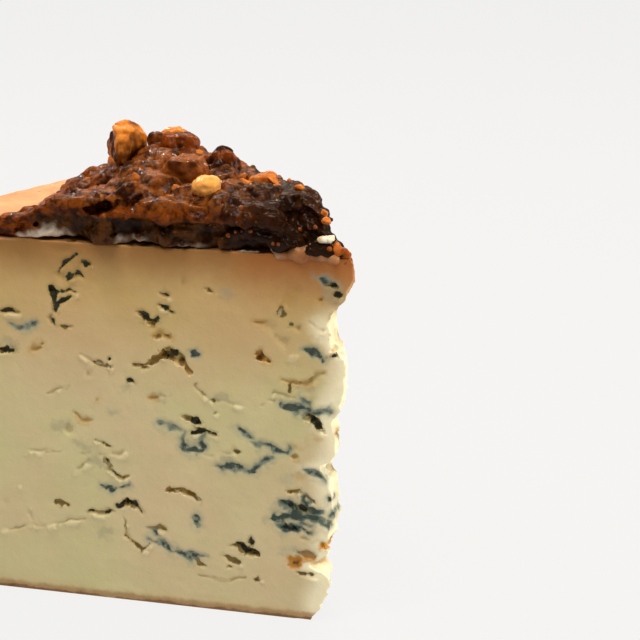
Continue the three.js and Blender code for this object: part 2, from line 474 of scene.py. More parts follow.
BLUE = [
    (0.5, (73, 61.5), (71, 61), (69, 61.5), (67.5, 62.5)),
    (0.9, (34.5, 58.5), (33.5, 58)),
    (0.9, (16, 49), (14, 48.5), (11.5, 48), (9, 47.5), (6, 48)),
    (0.6, (11.5, 50), (10, 48.5)),
    (0.6, (11, 61), (9.5, 60.5), (7.5, 59)),
    (0.7, (42, 42.5), (40, 42), (37.5, 41)),
    (0.6, (36.5, 40.5), (36.5, 37), (33, 37), (32.5, 40.5)),
    (0.5, (25, 42.5), (22.5, 41)),
    (0.45, (22.5, 40), (21, 39), (19, 39.5), (17.5, 38.5), (15, 38), (14.5, 39.5)),
    (0.7, (30, 34), (28, 33.5), (26, 34), (23.5, 33.5), (21.5, 33)),
    (0.6, (22, 33.5), (20.5, 35), (19.5, 36), (18, 36.5)),
    (0.6, (11, 34.5), (9.5, 34), (7, 33)),
    (0.4, (55, 26.5), (52.5, 26), (49, 27.5)),
    (0.6, (44.5, 17.5), (43, 16)),
    (0.6, (45, 15), (42, 14.5), (40.5, 13)),
    (0.5, (40.5, 13), (37, 12.5), (32.5, 12.5)),
    (0.4, (39, 14), (37.5, 12.5), (36, 11)),
    (0.7, (34.5, 22), (34, 19.5)),
    (0.8, (16, 27), (14.5, 26.5), (12, 25.5)),
    (0.8, (11.5, 28), (10.5, 26)),
    (0.8, (11.5, 25.5), (7.5, 25.5)),
    (0.9, (14.5, 24), (11, 24), (8.5, 23), (7, 22.5), (5.5, 23.5)),
    (0.9, (19, 22.5), (17, 23), (15, 24)),
    (0.8, (17, 21.5), (15.5, 21), (12, 21.5), (10.5, 20.5)),
    (1.0, (14, 25), (11.5, 24)),
    (0.7, (12, 22.5), (10, 22)),
    (0.6, (6.5, 28.5), (5.5, 28)),
    (0.7, (6, 24.5), (4.5, 26)),
    (0.5, (8, 76), (5.5, 74.5)),
]
OLIVE = [
    (0.35, (61.5, 62), (59.5, 62)),
    (0.3, (58, 56), (55, 54.5), (51.5, 54)),
    (0.4, (47, 54.5), (43.5, 54.5)),
    (0.6, (43, 55.5), (40.5, 57.5), (38, 58.5)),
    (0.6, (37, 58), (35, 54.5)),
    (0.35, (31, 72), (30, 71.5)),
    (0.35, (34, 51.5), (33, 50), (31.5, 48.5), (30, 48)),
    (0.3, (30, 45.5)),
    (0.3, (14, 53), (14, 51.5)),
    (0.4, (26, 37.5), (24.5, 37.5)),
    (0.5, (40, 27), (37, 27.5), (35, 26.5), (33.5, 25.5)),
    (0.3, (56, 37), (52.5, 36)),
    (0.3, (50.5, 19), (50, 15.5), (48.5, 13.5), (46.5, 12.5), (45, 14)),
    (0.5, (45.5, 18), (41, 18)),
    (0.4, (35, 11.5), (33, 10)),
    (0.4, (28, 10.5), (27, 10.5)),
    (0.5, (21.5, 8.5), (20.5, 8.5)),
    (0.5, (16, 69.5), (15.5, 67.5)),
    (0.4, (14, 66)),
    (0.6, (11, 47), (9, 45.5), (7.5, 43.5)),
    (0.6, (27, 16), (22, 13.5)),
    (0.4, (29, 13), (25.5, 12)),
    (0.5, (13, 11), (9.5, 10.5)),
    (0.4, (15, 29.5), (12.5, 29.5), (10, 28), (8.5, 27.5)),
    (0.6, (66, 22), (63, 21.5)),
]
TAN = [
    (0.7, (68.5, 56.5), (66.5, 57)),
    (0.4, (66, 58)),
    (0.5, (42.5, 63)),
    (0.5, (42, 61), (40.5, 62), (38.5, 61.5)),
    (0.4, (43.5, 48), (42, 48)),
    (0.3, (55, 46.5)),
    (0.4, (60, 43), (59, 41.5), (56.5, 41.5)),
    (0.5, (8, 71.5)),
    (0.4, (15.5, 54), (14, 53.5), (11, 53.5), (9.5, 55), (7, 56.5)),
    (0.6, (21, 59.5), (18.5, 57.5)),
    (0.5, (14, 37.5), (12.5, 37.5)),
    (1.2, (14, 12.5), (12.5, 14)),
    (0.8, (12, 15), (9.5, 15)),
    (1.0, (7.5, 18), (5, 18.5)),
    (0.7, (5, 64), (4.5, 61.5)),
    (0.5, (21, 66), (19, 66)),
]
HAZE = [
    (0.6, (74.5, 58), (72.5, 57.5)),
    (0.7, (48.5, 49.5)),
    (0.5, (42, 48), (39, 48.5)),
    (0.8, (52, 44), (49.5, 44)),
    (0.7, (29, 49), (27, 49)),
    (0.8, (28.5, 35), (25, 35)),
    (0.9, (60, 36.5), (57.5, 34.5)),
    (0.9, (58, 32.5), (54.5, 32)),
    (1.0, (56, 15), (54, 16.5)),
    (0.6, (42, 14.5), (37, 13)),
    (1.2, (35, 38.5)),
    (0.6, (20, 39.5), (17, 38.5)),
    (1.5, (13, 24)),
    (0.6, (12, 53), (10, 52.5)),
    (0.8, (65, 39.5), (62, 39)),
    (0.8, (28, 71.5), (26, 71.5)),
    (2.2, (5.5, 73)),
]
CREASE = [
    (0.25, (79, 14), (69.5, 16), (59.5, 18.5)),
    (0.25, (72.5, 33), (63.5, 34)),
    (0.2, (77.5, 24), (73, 25.5)),
    (0.2, (72.5, 21), (71, 17)),
    (0.2, (55, 34), (49.5, 35)),
    (0.25, (61, 30), (57.5, 32)),
    (0.25, (43.5, 48.5), (40.5, 48)),
    (0.2, (32, 36), (27, 37)),
    (0.2, (29.5, 48.5), (24.5, 48)),
    (0.2, (50.5, 19.5), (50, 16.5), (48, 13), (44.5, 12.5)),
    (0.2, (20, 48), (17.5, 51), (13, 50.5)),
    (0.2, (17, 63.5), (11, 66.5), (7.5, 65)),
    (0.2, (34, 8), (28, 7), (24, 8.5)),
    (0.2, (66, 47), (61, 49)),
]
MARKS = {"dark": DARK, "blue": BLUE, "olive": OLIVE, "tan": TAN, "haze": HAZE, "crease": CREASE}
print("strokes on the front cut", {name: len(marks) for name, marks in MARKS.items()})

# %% [markdown]
# ## Strokes on the back cut
# The back cut went through the same curd, so it shows the same kind of strokes in other places. Here
# nobody chose them: a seeded random walk starts a few strokes round each of some middles and moves
# mostly sideways, because curds settle flat under their own weight.

# %% Strokes on the back cut
def stray_marks(seed, middles):
    """Random strokes in loose groups, by colour."""
    luck = random.Random(seed)
    marks = {name: [] for name in MARKS}
    for group in range(middles):
        middle = luck.uniform(10, 88), luck.uniform(7, 74)
        colour = luck.choice(["dark", "blue", "blue", "olive", "olive"])
        for stroke in range(luck.randint(3, 7)):
            kind = luck.choice([colour, colour, colour, "olive", "haze", "tan"])
            s, z = luck.gauss(middle[0], 4.5), luck.gauss(middle[1], 3)
            points = [(s, z)]
            for bend in range(luck.randint(1, 4)):
                s, z = s - luck.uniform(0.8, 2.4), z + luck.gauss(0, 0.9)
                points.append((s, z))
            marks[kind].append((luck.uniform(0.3, 0.75), *points))
    return marks


BACK_MARKS = stray_marks(5, 30)
print("strokes on the back cut", {name: len(marks) for name, marks in BACK_MARKS.items()})

# %% [markdown]
# ## Refine the cuts near the strokes
# A stroke is about as wide as one or two squares of the mesh. The squares near the strokes of the
# front cut are subdivided once, so that the distances stored there are fine enough, and the rest of
# the cheese stays light. The flat base needs no small squares at all, so they are dissolved. A
# stroke's width swells in its middle and varies along it, and its path wobbles, as no gap in curd is
# even.


# %% Distances from the strokes
FAR = 6.0
AROUND = 4
SKIN = 1.2


def cut_places(rows, back):
    """Distance from the axis along a cut, height, and depth behind the cut, in millimetres."""
    aside = (rows - np.array(AXIS)) / MM
    turn = WEDGE if back else 0
    along = -aside[:, 0] * math.cos(turn) + aside[:, 1] * math.sin(turn)
    deep = aside[:, 0] * math.sin(turn) + aside[:, 1] * math.cos(turn)
    return np.stack([along, aside[:, 2], -deep if back else deep], axis=1)


def stroke_distance(rows, marks, wobble=0.4):
    """Distance from the nearest stroke's edge in millimetres: below 0 inside, and at most FAR."""
    rows = rows.copy()
    rows[:, 0] += wobble * lumps(rows * MM, 1.7, 21) + 0.4 * wobble * lumps(rows * MM, 0.7, 22)
    rows[:, 1] += wobble * lumps(rows * MM, 1.7, 23) + 0.4 * wobble * lumps(rows * MM, 0.7, 24)
    thick = 1 + 0.5 * lumps(rows * MM, 1.2, 27)
    nearest = np.full(len(rows), FAR)
    for half, *points in marks:
        for number, (start, end) in enumerate(zip(points, points[1:] or points)):
            start, way = np.array(start), np.array(end) - np.array(start)
            low, high = np.minimum(start, end) - AROUND, np.maximum(start, end) + AROUND
            boxed = ((rows[:, :2] > low) & (rows[:, :2] < high)).all(axis=1)
            near = np.flatnonzero(boxed & (abs(rows[:, 2]) < AROUND))
            aside = rows[near, :2] - start
            share = np.clip(aside @ way / max(way @ way, 1e-9), 0, 1)
            far = np.sqrt(((aside - share[:, None] * way) ** 2).sum(axis=1) + rows[near, 2] ** 2)
            taper = 0.55 + 0.6 * np.sin(np.pi * (number + share) / max(len(points) - 1, 1))
            wide = half * thick[near] * (taper if len(points) > 1 else 1)
            nearest[near] = np.minimum(nearest[near], far - wide)
    return nearest


def marks_distance(rows, names):
    """Distance from the nearest stroke of those kinds. Strokes run a skin's depth straight in."""
    nearest = np.full(len(rows), FAR)
    for back, marks in ((False, MARKS), (True, BACK_MARKS)):
        spots = cut_places(rows, back)
        depth_share = 0.12 + 0.33 * smooth(spots[:, 0], 9, 20)
        for name in names:
            spread = spots.copy()
            spread[:, 2] = np.maximum(abs(spots[:, 2]) - SKIN, 0) * depth_share
            nearest = np.minimum(nearest, stroke_distance(spread, marks[name]))
    return nearest


# %% Subdivide near the strokes
def select_faces(piece, chosen):
    """Selects the faces for which chosen is true, and enters edit mode."""
    only(piece)
    bpy.ops.object.mode_set(mode="EDIT")
    bpy.ops.mesh.select_mode(type="FACE")
    bpy.ops.mesh.select_all(action="DESELECT")
    bpy.ops.object.mode_set(mode="OBJECT")
    piece.data.polygons.foreach_set("select", np.asarray(chosen, bool))
    bpy.ops.object.mode_set(mode="EDIT")


def face_middles(piece):
    """The middles of all faces."""
    rows = np.empty(3 * len(piece.data.polygons), np.float32)
    piece.data.polygons.foreach_get("center", rows)
    return rows.reshape(-1, 3).astype(float)


ON_CUT = 0.3
CLOSE = 0.7
ON_BASE = 0.02 * MM

middles = face_middles(cheese)
on_front = abs(cut_places(middles, False)[:, 2]) < ON_CUT
close = np.full(len(middles), False)
close[on_front] = marks_distance(middles[on_front], MARKS) < CLOSE
select_faces(cheese, close)
bpy.ops.mesh.subdivide(number_cuts=1)
bpy.ops.object.mode_set(mode="OBJECT")

select_faces(cheese, face_middles(cheese)[:, 2] < ON_BASE)
bpy.ops.mesh.dissolve_limited(angle_limit=math.radians(1))
bpy.ops.object.mode_set(mode="OBJECT")
print("cheese", count(cheese), "triangles after", int(close.sum()), "squares were subdivided")

# %% [markdown]
# ## Dents, flaps and openings
# A blade drags over the curd: it smears a thin flap over the edge of an opening and leaves a dent
# along a vein. Small dents and flaps are sculpted, from the same distances as the stains. Real
# openings are deeper than wide and undercut, which no displacement can give, so they are cut with a
# boolean: chains of torn, angular shapes along their strokes are joined, melted together by a voxel
# remesh and roughened, and taken away in one go.


# %% Sculpt the cuts
def sculpt_cuts(piece):
    """Presses the strokes in, raises flaps beside them and gives the cuts the relief of curds."""
    rows = places(piece)
    out = normals(piece)
    dark = marks_distance(rows, ["dark"])
    blue = marks_distance(rows, ["blue"])
    olive = marks_distance(rows, ["olive", "tan"])
    crease = marks_distance(rows, ["crease"])
    beside = marks_distance(rows + np.array([-0.3, 0, 0.7]) * MM, ["olive", "dark", "crease"])
    flap = smooth(lumps(rows, 2.2, 31) + 0.5 * lumps(rows, 0.8, 38), 0.15, 0.6)
    move = -0.6 * smooth(dark, 0.4, -0.3) - 0.25 * smooth(blue, 0.6, -0.3)
    move -= 0.55 * smooth(olive, 0.3, -0.4)
    move -= 0.3 * smooth(crease, 0.35, -0.15) * smooth(lumps(rows, 2.5, 39), -0.3, 0.3)
    raised = flap * smooth(beside, 0.6, 0.0) * smooth(dark, -0.1, 0.5) * smooth(blue, -0.1, 0.5)
    remember(piece, "flap", raised)
    move += 0.35 * raised
    stretched = rows * np.array([0.45, 0.45, 1])
    move += 0.09 * lumps(rows, 9, 32) + 0.07 * lumps(stretched, 2.4, 33) + 0.04 * lumps(rows, 1.2, 34)
    dents = smooth(lumps(rows, 2.6, 36), 0.45, 0.7) * smooth(lumps(rows, 9, 37), 0.0, 0.4)
    move -= 0.45 * dents
    edge = smooth(rows[:, 2] / MM, 4, 0) + smooth(rows[:, 2] / MM, 74, 80)
    move += 0.25 * edge * lumps(rows, 2.6, 35)
    move = np.where(rows[:, 2] < RESTING, 0, move)
    return place(piece, rows + out * move[:, None] * MM)


RESTING = 0.05 * MM
sculpt_cuts(cheese)


# %% Openings along strokes
def melted(piece, voxel, smoothing=0):
    """Melts overlapping shapes into one closed skin, and smooths it by that many rounds."""
    modify(piece, "REMESH", mode="VOXEL", voxel_size=voxel * MM)
    if smoothing:
        modify(piece, "SMOOTH", factor=0.5, iterations=smoothing)
    return piece


def roughened(piece, layers):
    """Moves every vertex along its normal by layers of noise, each an amount, a size and a seed."""
    rows = places(piece)
    move = sum(amount * lumps(rows, size, seed) for amount, size, seed in layers)
    return place(piece, rows + normals(piece) * move[:, None] * MM)


def chain(name, spot, strokes, luck, deep=1.8, torn=False):
    """Balls or torn shapes along strokes. Spot turns a distance and a height into a place."""
    spots = []
    for half, *points in strokes:
        for start, end in zip(points, points[1:] or points):
            start, end = Vector(start), Vector(end)
            steps = max(1, round((end - start).length / (0.8 * half)))
            for step in range(steps + 1):
                at = start.lerp(end, step / steps)
                at += Vector((luck.gauss(0, 0.25), luck.gauss(0, 0.25))) * half
                wide = half * luck.uniform(0.4, 1.25)
                size = Vector((wide * luck.uniform(0.9, 1.6), wide * deep, wide)) * MM
                turn = Euler((luck.gauss(0, 0.3), luck.gauss(0, 0.3), luck.gauss(0, 0.3)))
                spots.append((luck.choice([0, 1]), spot(at.x, at.y), turn.to_quaternion(), size))
    shapes = [ball(1, 0.5, 91, 0.7), ball(1, 0.6, 92, 0.6)] if torn else [ball(2), ball(2)]
    return copies(name, shapes, spots)


FRONT_OPENINGS = [
    (0.4, (47, 54.5), (43.5, 55)),
    (0.8, (43, 55.6), (41, 57)),
    (1.3, (40.5, 57.2), (38.8, 57.8)),
    (1.1, (38.2, 57.4), (37, 56.4)),
    (0.7, (36.6, 55.8), (35, 54.2)),
    (0.6, (45.5, 66), (44, 65.5), (42.5, 64)),
    (0.8, (63.5, 70), (63, 68)),
    (0.5, (63, 66.5), (63, 65)),
    (1.2, (23.5, 14.5), (22, 14.5)),
    (0.5, (26, 16), (24, 15.5)),
    (0.5, (23, 18), (22.5, 15.5)),
    (0.7, (40, 27), (37, 27.5), (35, 26.5)),
    (0.7, (51.5, 22), (49.5, 23.5), (48, 23)),
    (0.8, (21, 59.5), (18.5, 57.5)),
    (0.6, (36, 44), (33, 43)),
    (0.6, (16, 27), (14.5, 26.5), (12.5, 26)),
    (0.6, (15.5, 21.3), (13, 20.5)),
    (0.9, (5, 64), (4.5, 61.5)),
    (0.6, (6.5, 74.6), (5.2, 74.2)),
    (0.5, (4.8, 72.4)),
    (0.6, (14, 12.6), (12.8, 13.4)),
    (0.35, (14, 53.5), (11, 53.5), (9.5, 55)),
    (0.9, (10.5, 46), (8, 44)),
    (0.5, (54, 33), (53, 31), (51, 29.3)),
    (0.5, (42, 61), (40.5, 62), (39, 61.7)),
    (0.6, (75.5, 55.5), (73.5, 56)),
    (0.45, (15, 29.5), (12.5, 29.5), (10, 28)),
    (0.45, (57.8, 73.4)),
    (0.5, (68, 56.7), (67, 57)),
]


BEHIND_RIND = 84


def back_spot(distance, height):
    """A point of the back cut, in millimetres from the wheel's axis and above the base."""
    return turned(distance, math.degrees(WEDGE), height)


def opened(piece, holes, voxel, layers):
    """Melts and roughens a chain of shapes, and takes it out of a piece."""
    melted(holes, voxel)
    roughened(holes, layers)
    return cut(piece, holes)


luck = random.Random(3)
holes = chain("front_openings", front, FRONT_OPENINGS, luck, torn=True)
opened(cheese, holes, 0.28, [(0.5, 1.7, 41), (0.3, 0.7, 42)])

BACK_OPENINGS = []
for kind in ("dark", "olive", "blue"):
    chosen = [points for half, *points in BACK_MARKS[kind][::4] if points[0][0] < BEHIND_RIND]
    BACK_OPENINGS += [(luck.uniform(0.5, 1.1), *points) for points in chosen]
holes = chain("back_openings", back_spot, BACK_OPENINGS, luck, torn=True)
opened(cheese, holes, 0.34, [(0.6, 1.7, 43), (0.35, 0.8, 44)])
print("cheese", count(cheese), "triangles with", len(FRONT_OPENINGS) + len(BACK_OPENINGS), "openings")

# %% [markdown]
# ## What the vertices remember
# The material needs to know where a point is on the wedge: how far from each kind of stroke, how deep
# inside an opening, how far from the rind, the axis and the break. These are measured once, in
# millimetres, and stored as attributes. Distances are stored instead of masks, because a distance
# blends well over a face and the material can still cut a crisp, ragged edge out of it.


# %% Store distances on the vertices
def hollow_depth(rows):
    """How far a place lies inside the whole wedge, behind both cuts, in millimetres."""
    behind_cuts = [cut_places(rows, side)[:, 2] for side in (False, True)]
    distance, angle, height = polar(rows)
    deep = np.minimum.reduce([*behind_cuts, rind_reach(height) - distance, top - height, height])
    at_tip = smooth(distance, 12, 9)
    return np.where(deep > 0.3, deep, 0) * (1 - at_tip)


rows = places(cheese)
distance, angle, height = polar(rows)
for name in MARKS:
    remember(cheese, name, marks_distance(rows, [name]))
remember(cheese, "hollow", hollow_depth(rows))
out = np.maximum(distance - (rim - SHOULDER), 0)
rise = np.maximum(height - (top - SHOULDER), 0)
at_shoulder = SHOULDER - np.hypot(out, rise)
at_side = rind_reach(height) - distance
remember(cheese, "rind", np.where((out > 0) & (rise > 0), at_shoulder, at_side))
remember(cheese, "axis", distance)
remember(cheese, "nose", distance - lean(height))
shaded(cheese)
print("attributes", [a.name for a in cheese.data.attributes])

# %% [markdown]
# ## Writing materials as sums
# A material is a network of nodes, and much of it is plain arithmetic on masks. A small class wraps a
# node's output, so that an expression such as 1 - mask * 0.5 adds its own Math nodes. Every other
# node comes from one method. A colour is built like a painting: one method lays the next colour over
# what is there, as thick as a mask says. The noises read the object's own coordinates in millimetres,
# so that a size in the script is a size on the cheese.


# %% A class for materials
class Link:
    """One output of a node, with arithmetic."""

    def __init__(self, finish, socket):
        self.finish, self.socket = finish, socket

    def math(self, operation, first, second):
        return self.finish.node("ShaderNodeMath", {"operation": operation}, {0: first, 1: second})

    def __add__(self, other):
        return self.math("ADD", self, other)

    def __sub__(self, other):
        return self.math("SUBTRACT", self, other)

    def __rsub__(self, other):
        return self.math("SUBTRACT", other, self)

    def __mul__(self, other):
        return self.math("MULTIPLY", self, other)

    def __or__(self, other):
        return self.math("MAXIMUM", self, other)

    __radd__, __rmul__ = __add__, __mul__


def linear(number):
    """The linear value of an everyday 8-bit number, by the rule for screens."""
    return number / 255 / 12.92 if number < 10.3 else ((number / 255 + 0.055) / 1.055) ** 2.4


def tint(red, green, blue):
    """A colour from three 8-bit numbers, as a shader takes it."""
    return (linear(red), linear(green), linear(blue), 1)


def soft(share, reach, depth):
    """The sockets for light that enters: its share, reach by colour and depth in millimetres."""
    return {"Subsurface_Weight": share, "Subsurface_Radius": reach, "Subsurface_Scale": depth * MM}


class Finish:
    """A material under construction."""

    def __init__(self, name):
        self.material = bpy.data.materials.new(name)
        self.material.use_nodes = True
        self.tree = self.material.node_tree
        self.tree.nodes.clear()
        coordinates = self.node("ShaderNodeTexCoord", output="Object")
        self.mm = self.vector("MULTIPLY", coordinates, (1000, 1000, 1000))

    def node(self, kind, settings=None, inputs=None, output=0):
        """Adds a node: its settings, then its sockets' values or links. Returns one output."""
        node = self.tree.nodes.new(kind)
        for key, value in (settings or {}).items():
            setattr(node, key, value)
        for key, value in (inputs or {}).items():
            self.put(self.find(node.inputs, key), value)
        return Link(self, self.find(node.outputs, output))

    def find(self, sockets, key):
        """A socket by its number, identifier or name."""
        if isinstance(key, int):
            return sockets[key]
        return next((socket for socket in sockets if socket.identifier == key), None) or sockets[key]

    def put(self, socket, value):
        """Links a socket to an output, or sets its value."""
        if isinstance(value, Link):
            self.tree.links.new(value.socket, socket)
        else:
            socket.default_value = value

    def vector(self, operation, first, second):
        return self.node("ShaderNodeVectorMath", {"operation": operation}, {0: first, 1: second})

    def up(self):
        """The height above the base in millimetres."""
        return self.node("ShaderNodeSeparateXYZ", inputs={0: self.mm}, output="Z")

    def noise(self, size, detail=3, rough=0.55, shift=0, stretch=(1, 1, 1)):
        """Noise from 0 to 1 with spots of about that size in millimetres."""
        placing = {"Vector": self.mm, "Location": (shift, shift, shift), "Scale": stretch}
        placed = self.node("ShaderNodeMapping", inputs=placing)
        values = {"Vector": placed, "Scale": 0.5 / size, "Detail": detail, "Roughness": rough}
        return self.node("ShaderNodeTexNoise", {"noise_dimensions": "3D"}, values)

    def cells(self, size, shift=0):
        """Distance from the middles of cells of about that size in millimetres."""
        moved = self.vector("ADD", self.mm, (shift, shift, shift))
        values = {"Vector": moved, "Scale": 1 / size}
        return self.node("ShaderNodeTexVoronoi", {"feature": "F1"}, values, "Distance")

    def stored(self, name):
        return self.node("ShaderNodeAttribute", {"attribute_name": name}, output="Fac")

    def edge(self, value, low, high):
        """0 below low and 1 above high, smoothly. High may be the smaller one."""
        return self.node(
            "ShaderNodeMapRange",
            {"interpolation_type": "SMOOTHSTEP"},
            {"Value": value, "From Min": low, "From Max": high},
        )

    def blend(self, share, first, second):
        """One colour where the share is 0 and the other where it is 1."""
        values = {"Factor_Float": share, "A_Color": first, "B_Color": second}
        return self.node("ShaderNodeMix", {"data_type": "RGBA"}, values, "Result_Color")

    def paint(self, share, over):
        """Lays a colour over the finish's colour so far, as thick as the share."""
        self.colour = self.blend(share, self.colour, over)

    def bump(self, height, depth, under=None):
        """A bump from a height of 0 to 1 that stands for a depth in millimetres."""
        values = {"Height": height, "Distance": depth * MM, "Strength": 1.0}
        if under:
            values["Normal"] = under
        return self.node("ShaderNodeBump", inputs=values)

    def surface(self, **inputs):
        """The shader itself, in the finish's colour. Underscores in names stand for spaces."""
        values = {"Base Color": self.colour}
        values |= {key.replace("_", " "): value for key, value in inputs.items()}
        shader = self.node("ShaderNodeBsdfPrincipled", inputs=values)
        output = self.tree.nodes.new("ShaderNodeOutputMaterial")
        self.put(output.inputs["Surface"], shader)
        return self.material

# %% [markdown]
# ## The cheese's material
# Under everything the cheese is blotchy: ivory, greenish yellow and pinkish in patches of one to
# three centimetres. Towards the rind, the top and the base it darkens to tan, syrup has stained it
# brown under the paste, and the break is creamier than the cuts, painted lighter partly as fresher
# curd and partly as a painted highlight for the bright rim that the light gives the tip. Stains come
# next, from the softest to the sharpest: grey haze, tan, olive, blue with its halo, and the near-black
# cores. The inside of an opening is damp and olive to amber, and deeper in it is painted dark, partly
# as dark mould and partly as painted shade. Raised flaps are painted whiter, partly as thin smeared
# cheese and partly as a painted highlight. The rind itself is dull pinkish tan with brown specks.
# Cheese lets light in a little, which softens its shading, so it has some subsurface scattering.

# %% Cheese material
def cheese_material():
    f = Finish("cheese")
    z = f.up()
    blotch, patch = f.noise(14), f.noise(5, shift=7)
    fine, grain = f.noise(1.1, shift=3), f.noise(0.45, shift=5)
    streak = f.noise(2.5, stretch=(0.5, 0.5, 1), shift=9)
    ragged = (grain - 0.5) * 1.0 + (fine - 0.5) * 2.2 + (f.noise(2.2, shift=29, detail=1) - 0.5) * 1.8

    f.colour = f.blend(f.edge(blotch, 0.35, 0.65), tint(208, 197, 144), tint(214, 192, 148))
    f.paint(f.edge(patch, 0.45, 0.75) * 0.4, tint(222, 206, 158))
    f.paint(f.edge(streak, 0.5, 0.75) * 0.25, tint(196, 182, 128))

    rind = f.stored("rind")
    near_tip = f.edge(f.stored("axis"), 32, 16)
    below_top = top - z + (fine - 0.5) * 2 + (patch - 0.5) * 4
    warm = f.edge(below_top, 38, 4)
    f.paint(warm * 0.62, tint(190, 138, 64))
    # Painted highlight: the break is painted creamy white, partly as fresher curd and partly as the
    # bright rim that the light gives the tip.
    creamy_and_lit_tip = f.edge(f.stored("nose") + (patch - 0.5) * 5, 5.5, 0.5) * f.edge(below_top, 6, 16)
    f.paint(creamy_and_lit_tip * 0.92, tint(254, 242, 204))
    syrup = f.edge(below_top, 11 + near_tip * 2, -0.5)
    stain = f.blend(near_tip, tint(144, 90, 34), tint(166, 92, 34))
    f.paint(syrup * (0.82 + near_tip * 0.1), stain)
    under_rind = f.edge(rind + (patch - 0.5) * 4, 7, 0.5)
    f.paint(under_rind * 0.6, tint(204, 168, 116))
    under_base = f.edge(z + (patch - 0.5) * 3, 4, 0.2)
    f.paint(under_base * 0.5, tint(200, 170, 118))
    base_skin = f.edge(z + (fine - 0.5) * 1.6, 2.2, 1.1)
    f.paint(base_skin * 0.8, tint(168, 130, 84))
    base_line = f.edge(z + (fine - 0.5) * 1.6 + (patch - 0.5) * 2, 0.9, 0.3)
    f.paint(base_line * 0.8, tint(122, 80, 46))

    hollow = f.stored("hollow")
    haze = f.edge(f.stored("haze") + ragged * 1.8, 0.9, -0.9)
    f.paint(haze * 0.45, tint(158, 150, 122))
    tan = f.edge(f.stored("tan") + ragged, 1.0, -0.6)
    amber = f.edge(z, 24, 18) * f.edge(f.stored("axis"), 22, 18)
    f.paint(tan * (0.6 + amber * 0.4), f.blend(amber, tint(190, 148, 76), tint(206, 132, 16)))
    crease = f.edge(f.stored("crease") + ragged * 0.4, 0.3, -0.1)
    crease = crease * f.edge(f.noise(2.5, shift=40), 0.45, 0.6)
    f.paint(crease * 0.4, tint(168, 144, 88))
    olive = f.edge(f.stored("olive") + ragged, 0.6, -0.5)
    f.paint(olive * 0.5, tint(172, 150, 88))
    olive_core = f.edge(f.stored("olive") + ragged * 0.8, 0.0, -0.2)
    f.paint(olive_core * 0.85, tint(108, 86, 38))
    inside = f.edge(hollow + ragged * 0.3, 0.2, 0.9)
    f.paint(inside * 0.7, f.blend(f.edge(patch, 0.4, 0.6), tint(206, 158, 76), tint(164, 130, 58)))
    # Painted shade: deeper inside an opening the colour turns dark, partly as dark mould and partly as
    # the shade that falls in there.
    deep = f.edge(hollow + ragged * 0.4, 1.0, 2.4) * (1 - amber)
    f.paint(deep * 0.9, tint(70, 54, 22))

    blue_distance = f.stored("blue")
    halo = f.edge(blue_distance + ragged * 0.8, 1.6, -0.3)
    f.paint(halo * 0.55, tint(150, 154, 130))
    outer = f.edge(blue_distance + ragged * 0.6, 0.35, -0.35)
    teal = f.edge(z, 34, 22) * f.edge(f.stored("axis"), 26, 20)
    blue_tone = f.blend(f.edge(f.noise(0.8, shift=37), 0.4, 0.6), tint(84, 98, 88), tint(128, 138, 122))
    blue_tone = f.blend(teal * 0.8, blue_tone, tint(62, 90, 84))
    f.paint(outer * 0.88, blue_tone)
    lines = (f.noise(1.4, stretch=(0.5, 0.5, 1.4), shift=38) - 0.5) * 2.5
    blue = f.edge(blue_distance + ragged * 0.5 + lines, -0.15, -0.5)
    f.paint(blue * 0.78, tint(44, 56, 48))
    fleck = outer * f.edge(f.noise(0.8, shift=36), 0.56, 0.66)
    f.paint(fleck * 0.6, tint(160, 164, 138))
    dark_distance = f.stored("dark")
    shade = f.edge(dark_distance + ragged, 0.8, -0.4)
    f.paint(shade * 0.6, tint(138, 124, 72))
    dark = f.edge(dark_distance + ragged * 0.7, 0.12, -0.12)
    # Painted highlight: the raised flaps are painted whiter, partly as thin smeared cheese and partly as
    # the light that their edges catch.
    flap = f.edge(f.stored("flap") + (fine - 0.5) * 0.4, 0.15, 0.6)
    f.paint(flap * 0.25, tint(236, 222, 182))
    f.paint(dark * 0.95, f.blend(f.edge(fine, 0.4, 0.7), tint(28, 29, 17), tint(66, 64, 36)))

    top_skin = f.edge(top - z + (fine - 0.5) * 0.4, 0.6, 0.25) * f.edge(f.stored("axis"), 68, 74)
    skin = f.edge(rind + (fine - 0.5) * 0.5, 0.9, 0.35) | top_skin
    mottle = f.noise(4, shift=13)
    skin_colour = f.blend(f.edge(mottle, 0.35, 0.7), tint(212, 162, 114), tint(194, 139, 92))
    speck = f.edge(f.noise(1.6, shift=17, detail=2), 0.66, 0.74)
    skin_colour = f.blend(speck * 0.7, skin_colour, tint(150, 92, 58))
    band = f.edge(f.noise(9, stretch=(0.4, 0.4, 1.6), shift=19), 0.55, 0.7)
    skin_colour = f.blend(band * 0.45, skin_colour, tint(178, 122, 84))
    f.paint(skin, skin_colour)

    rough = 0.5 + skin * 0.2 - inside * 0.15 - blue * 0.05 + (patch - 0.5) * 0.2
    pits = f.edge(f.cells(0.9, shift=2), 0.0, 0.4)
    normal = f.bump(f.noise(0.8, detail=4, shift=23), 0.1)
    normal = f.bump(grain * 0.6 + pits * 0.4 + skin * fine, 0.05, normal)
    return f.surface(
        Roughness=rough,
        Normal=normal,
        **soft(0.2, (1.0, 0.6, 0.3), 2),
        Specular_IOR_Level=0.18,
    )


def dress(piece, material, slot, *nodes):
    """Gives a piece its material. It rides on the wedge, and stands for its nodes.
    The slot is not used.
    """
    piece.data.materials.clear()
    piece.data.materials.append(material)
    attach(piece, "root")
    if nodes:
        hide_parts(*nodes)
    return piece


dress(cheese, cheese_material(), "cheese", "cheese_wedge")
print("cheese nodes", len(cheese.data.materials[0].node_tree.nodes))

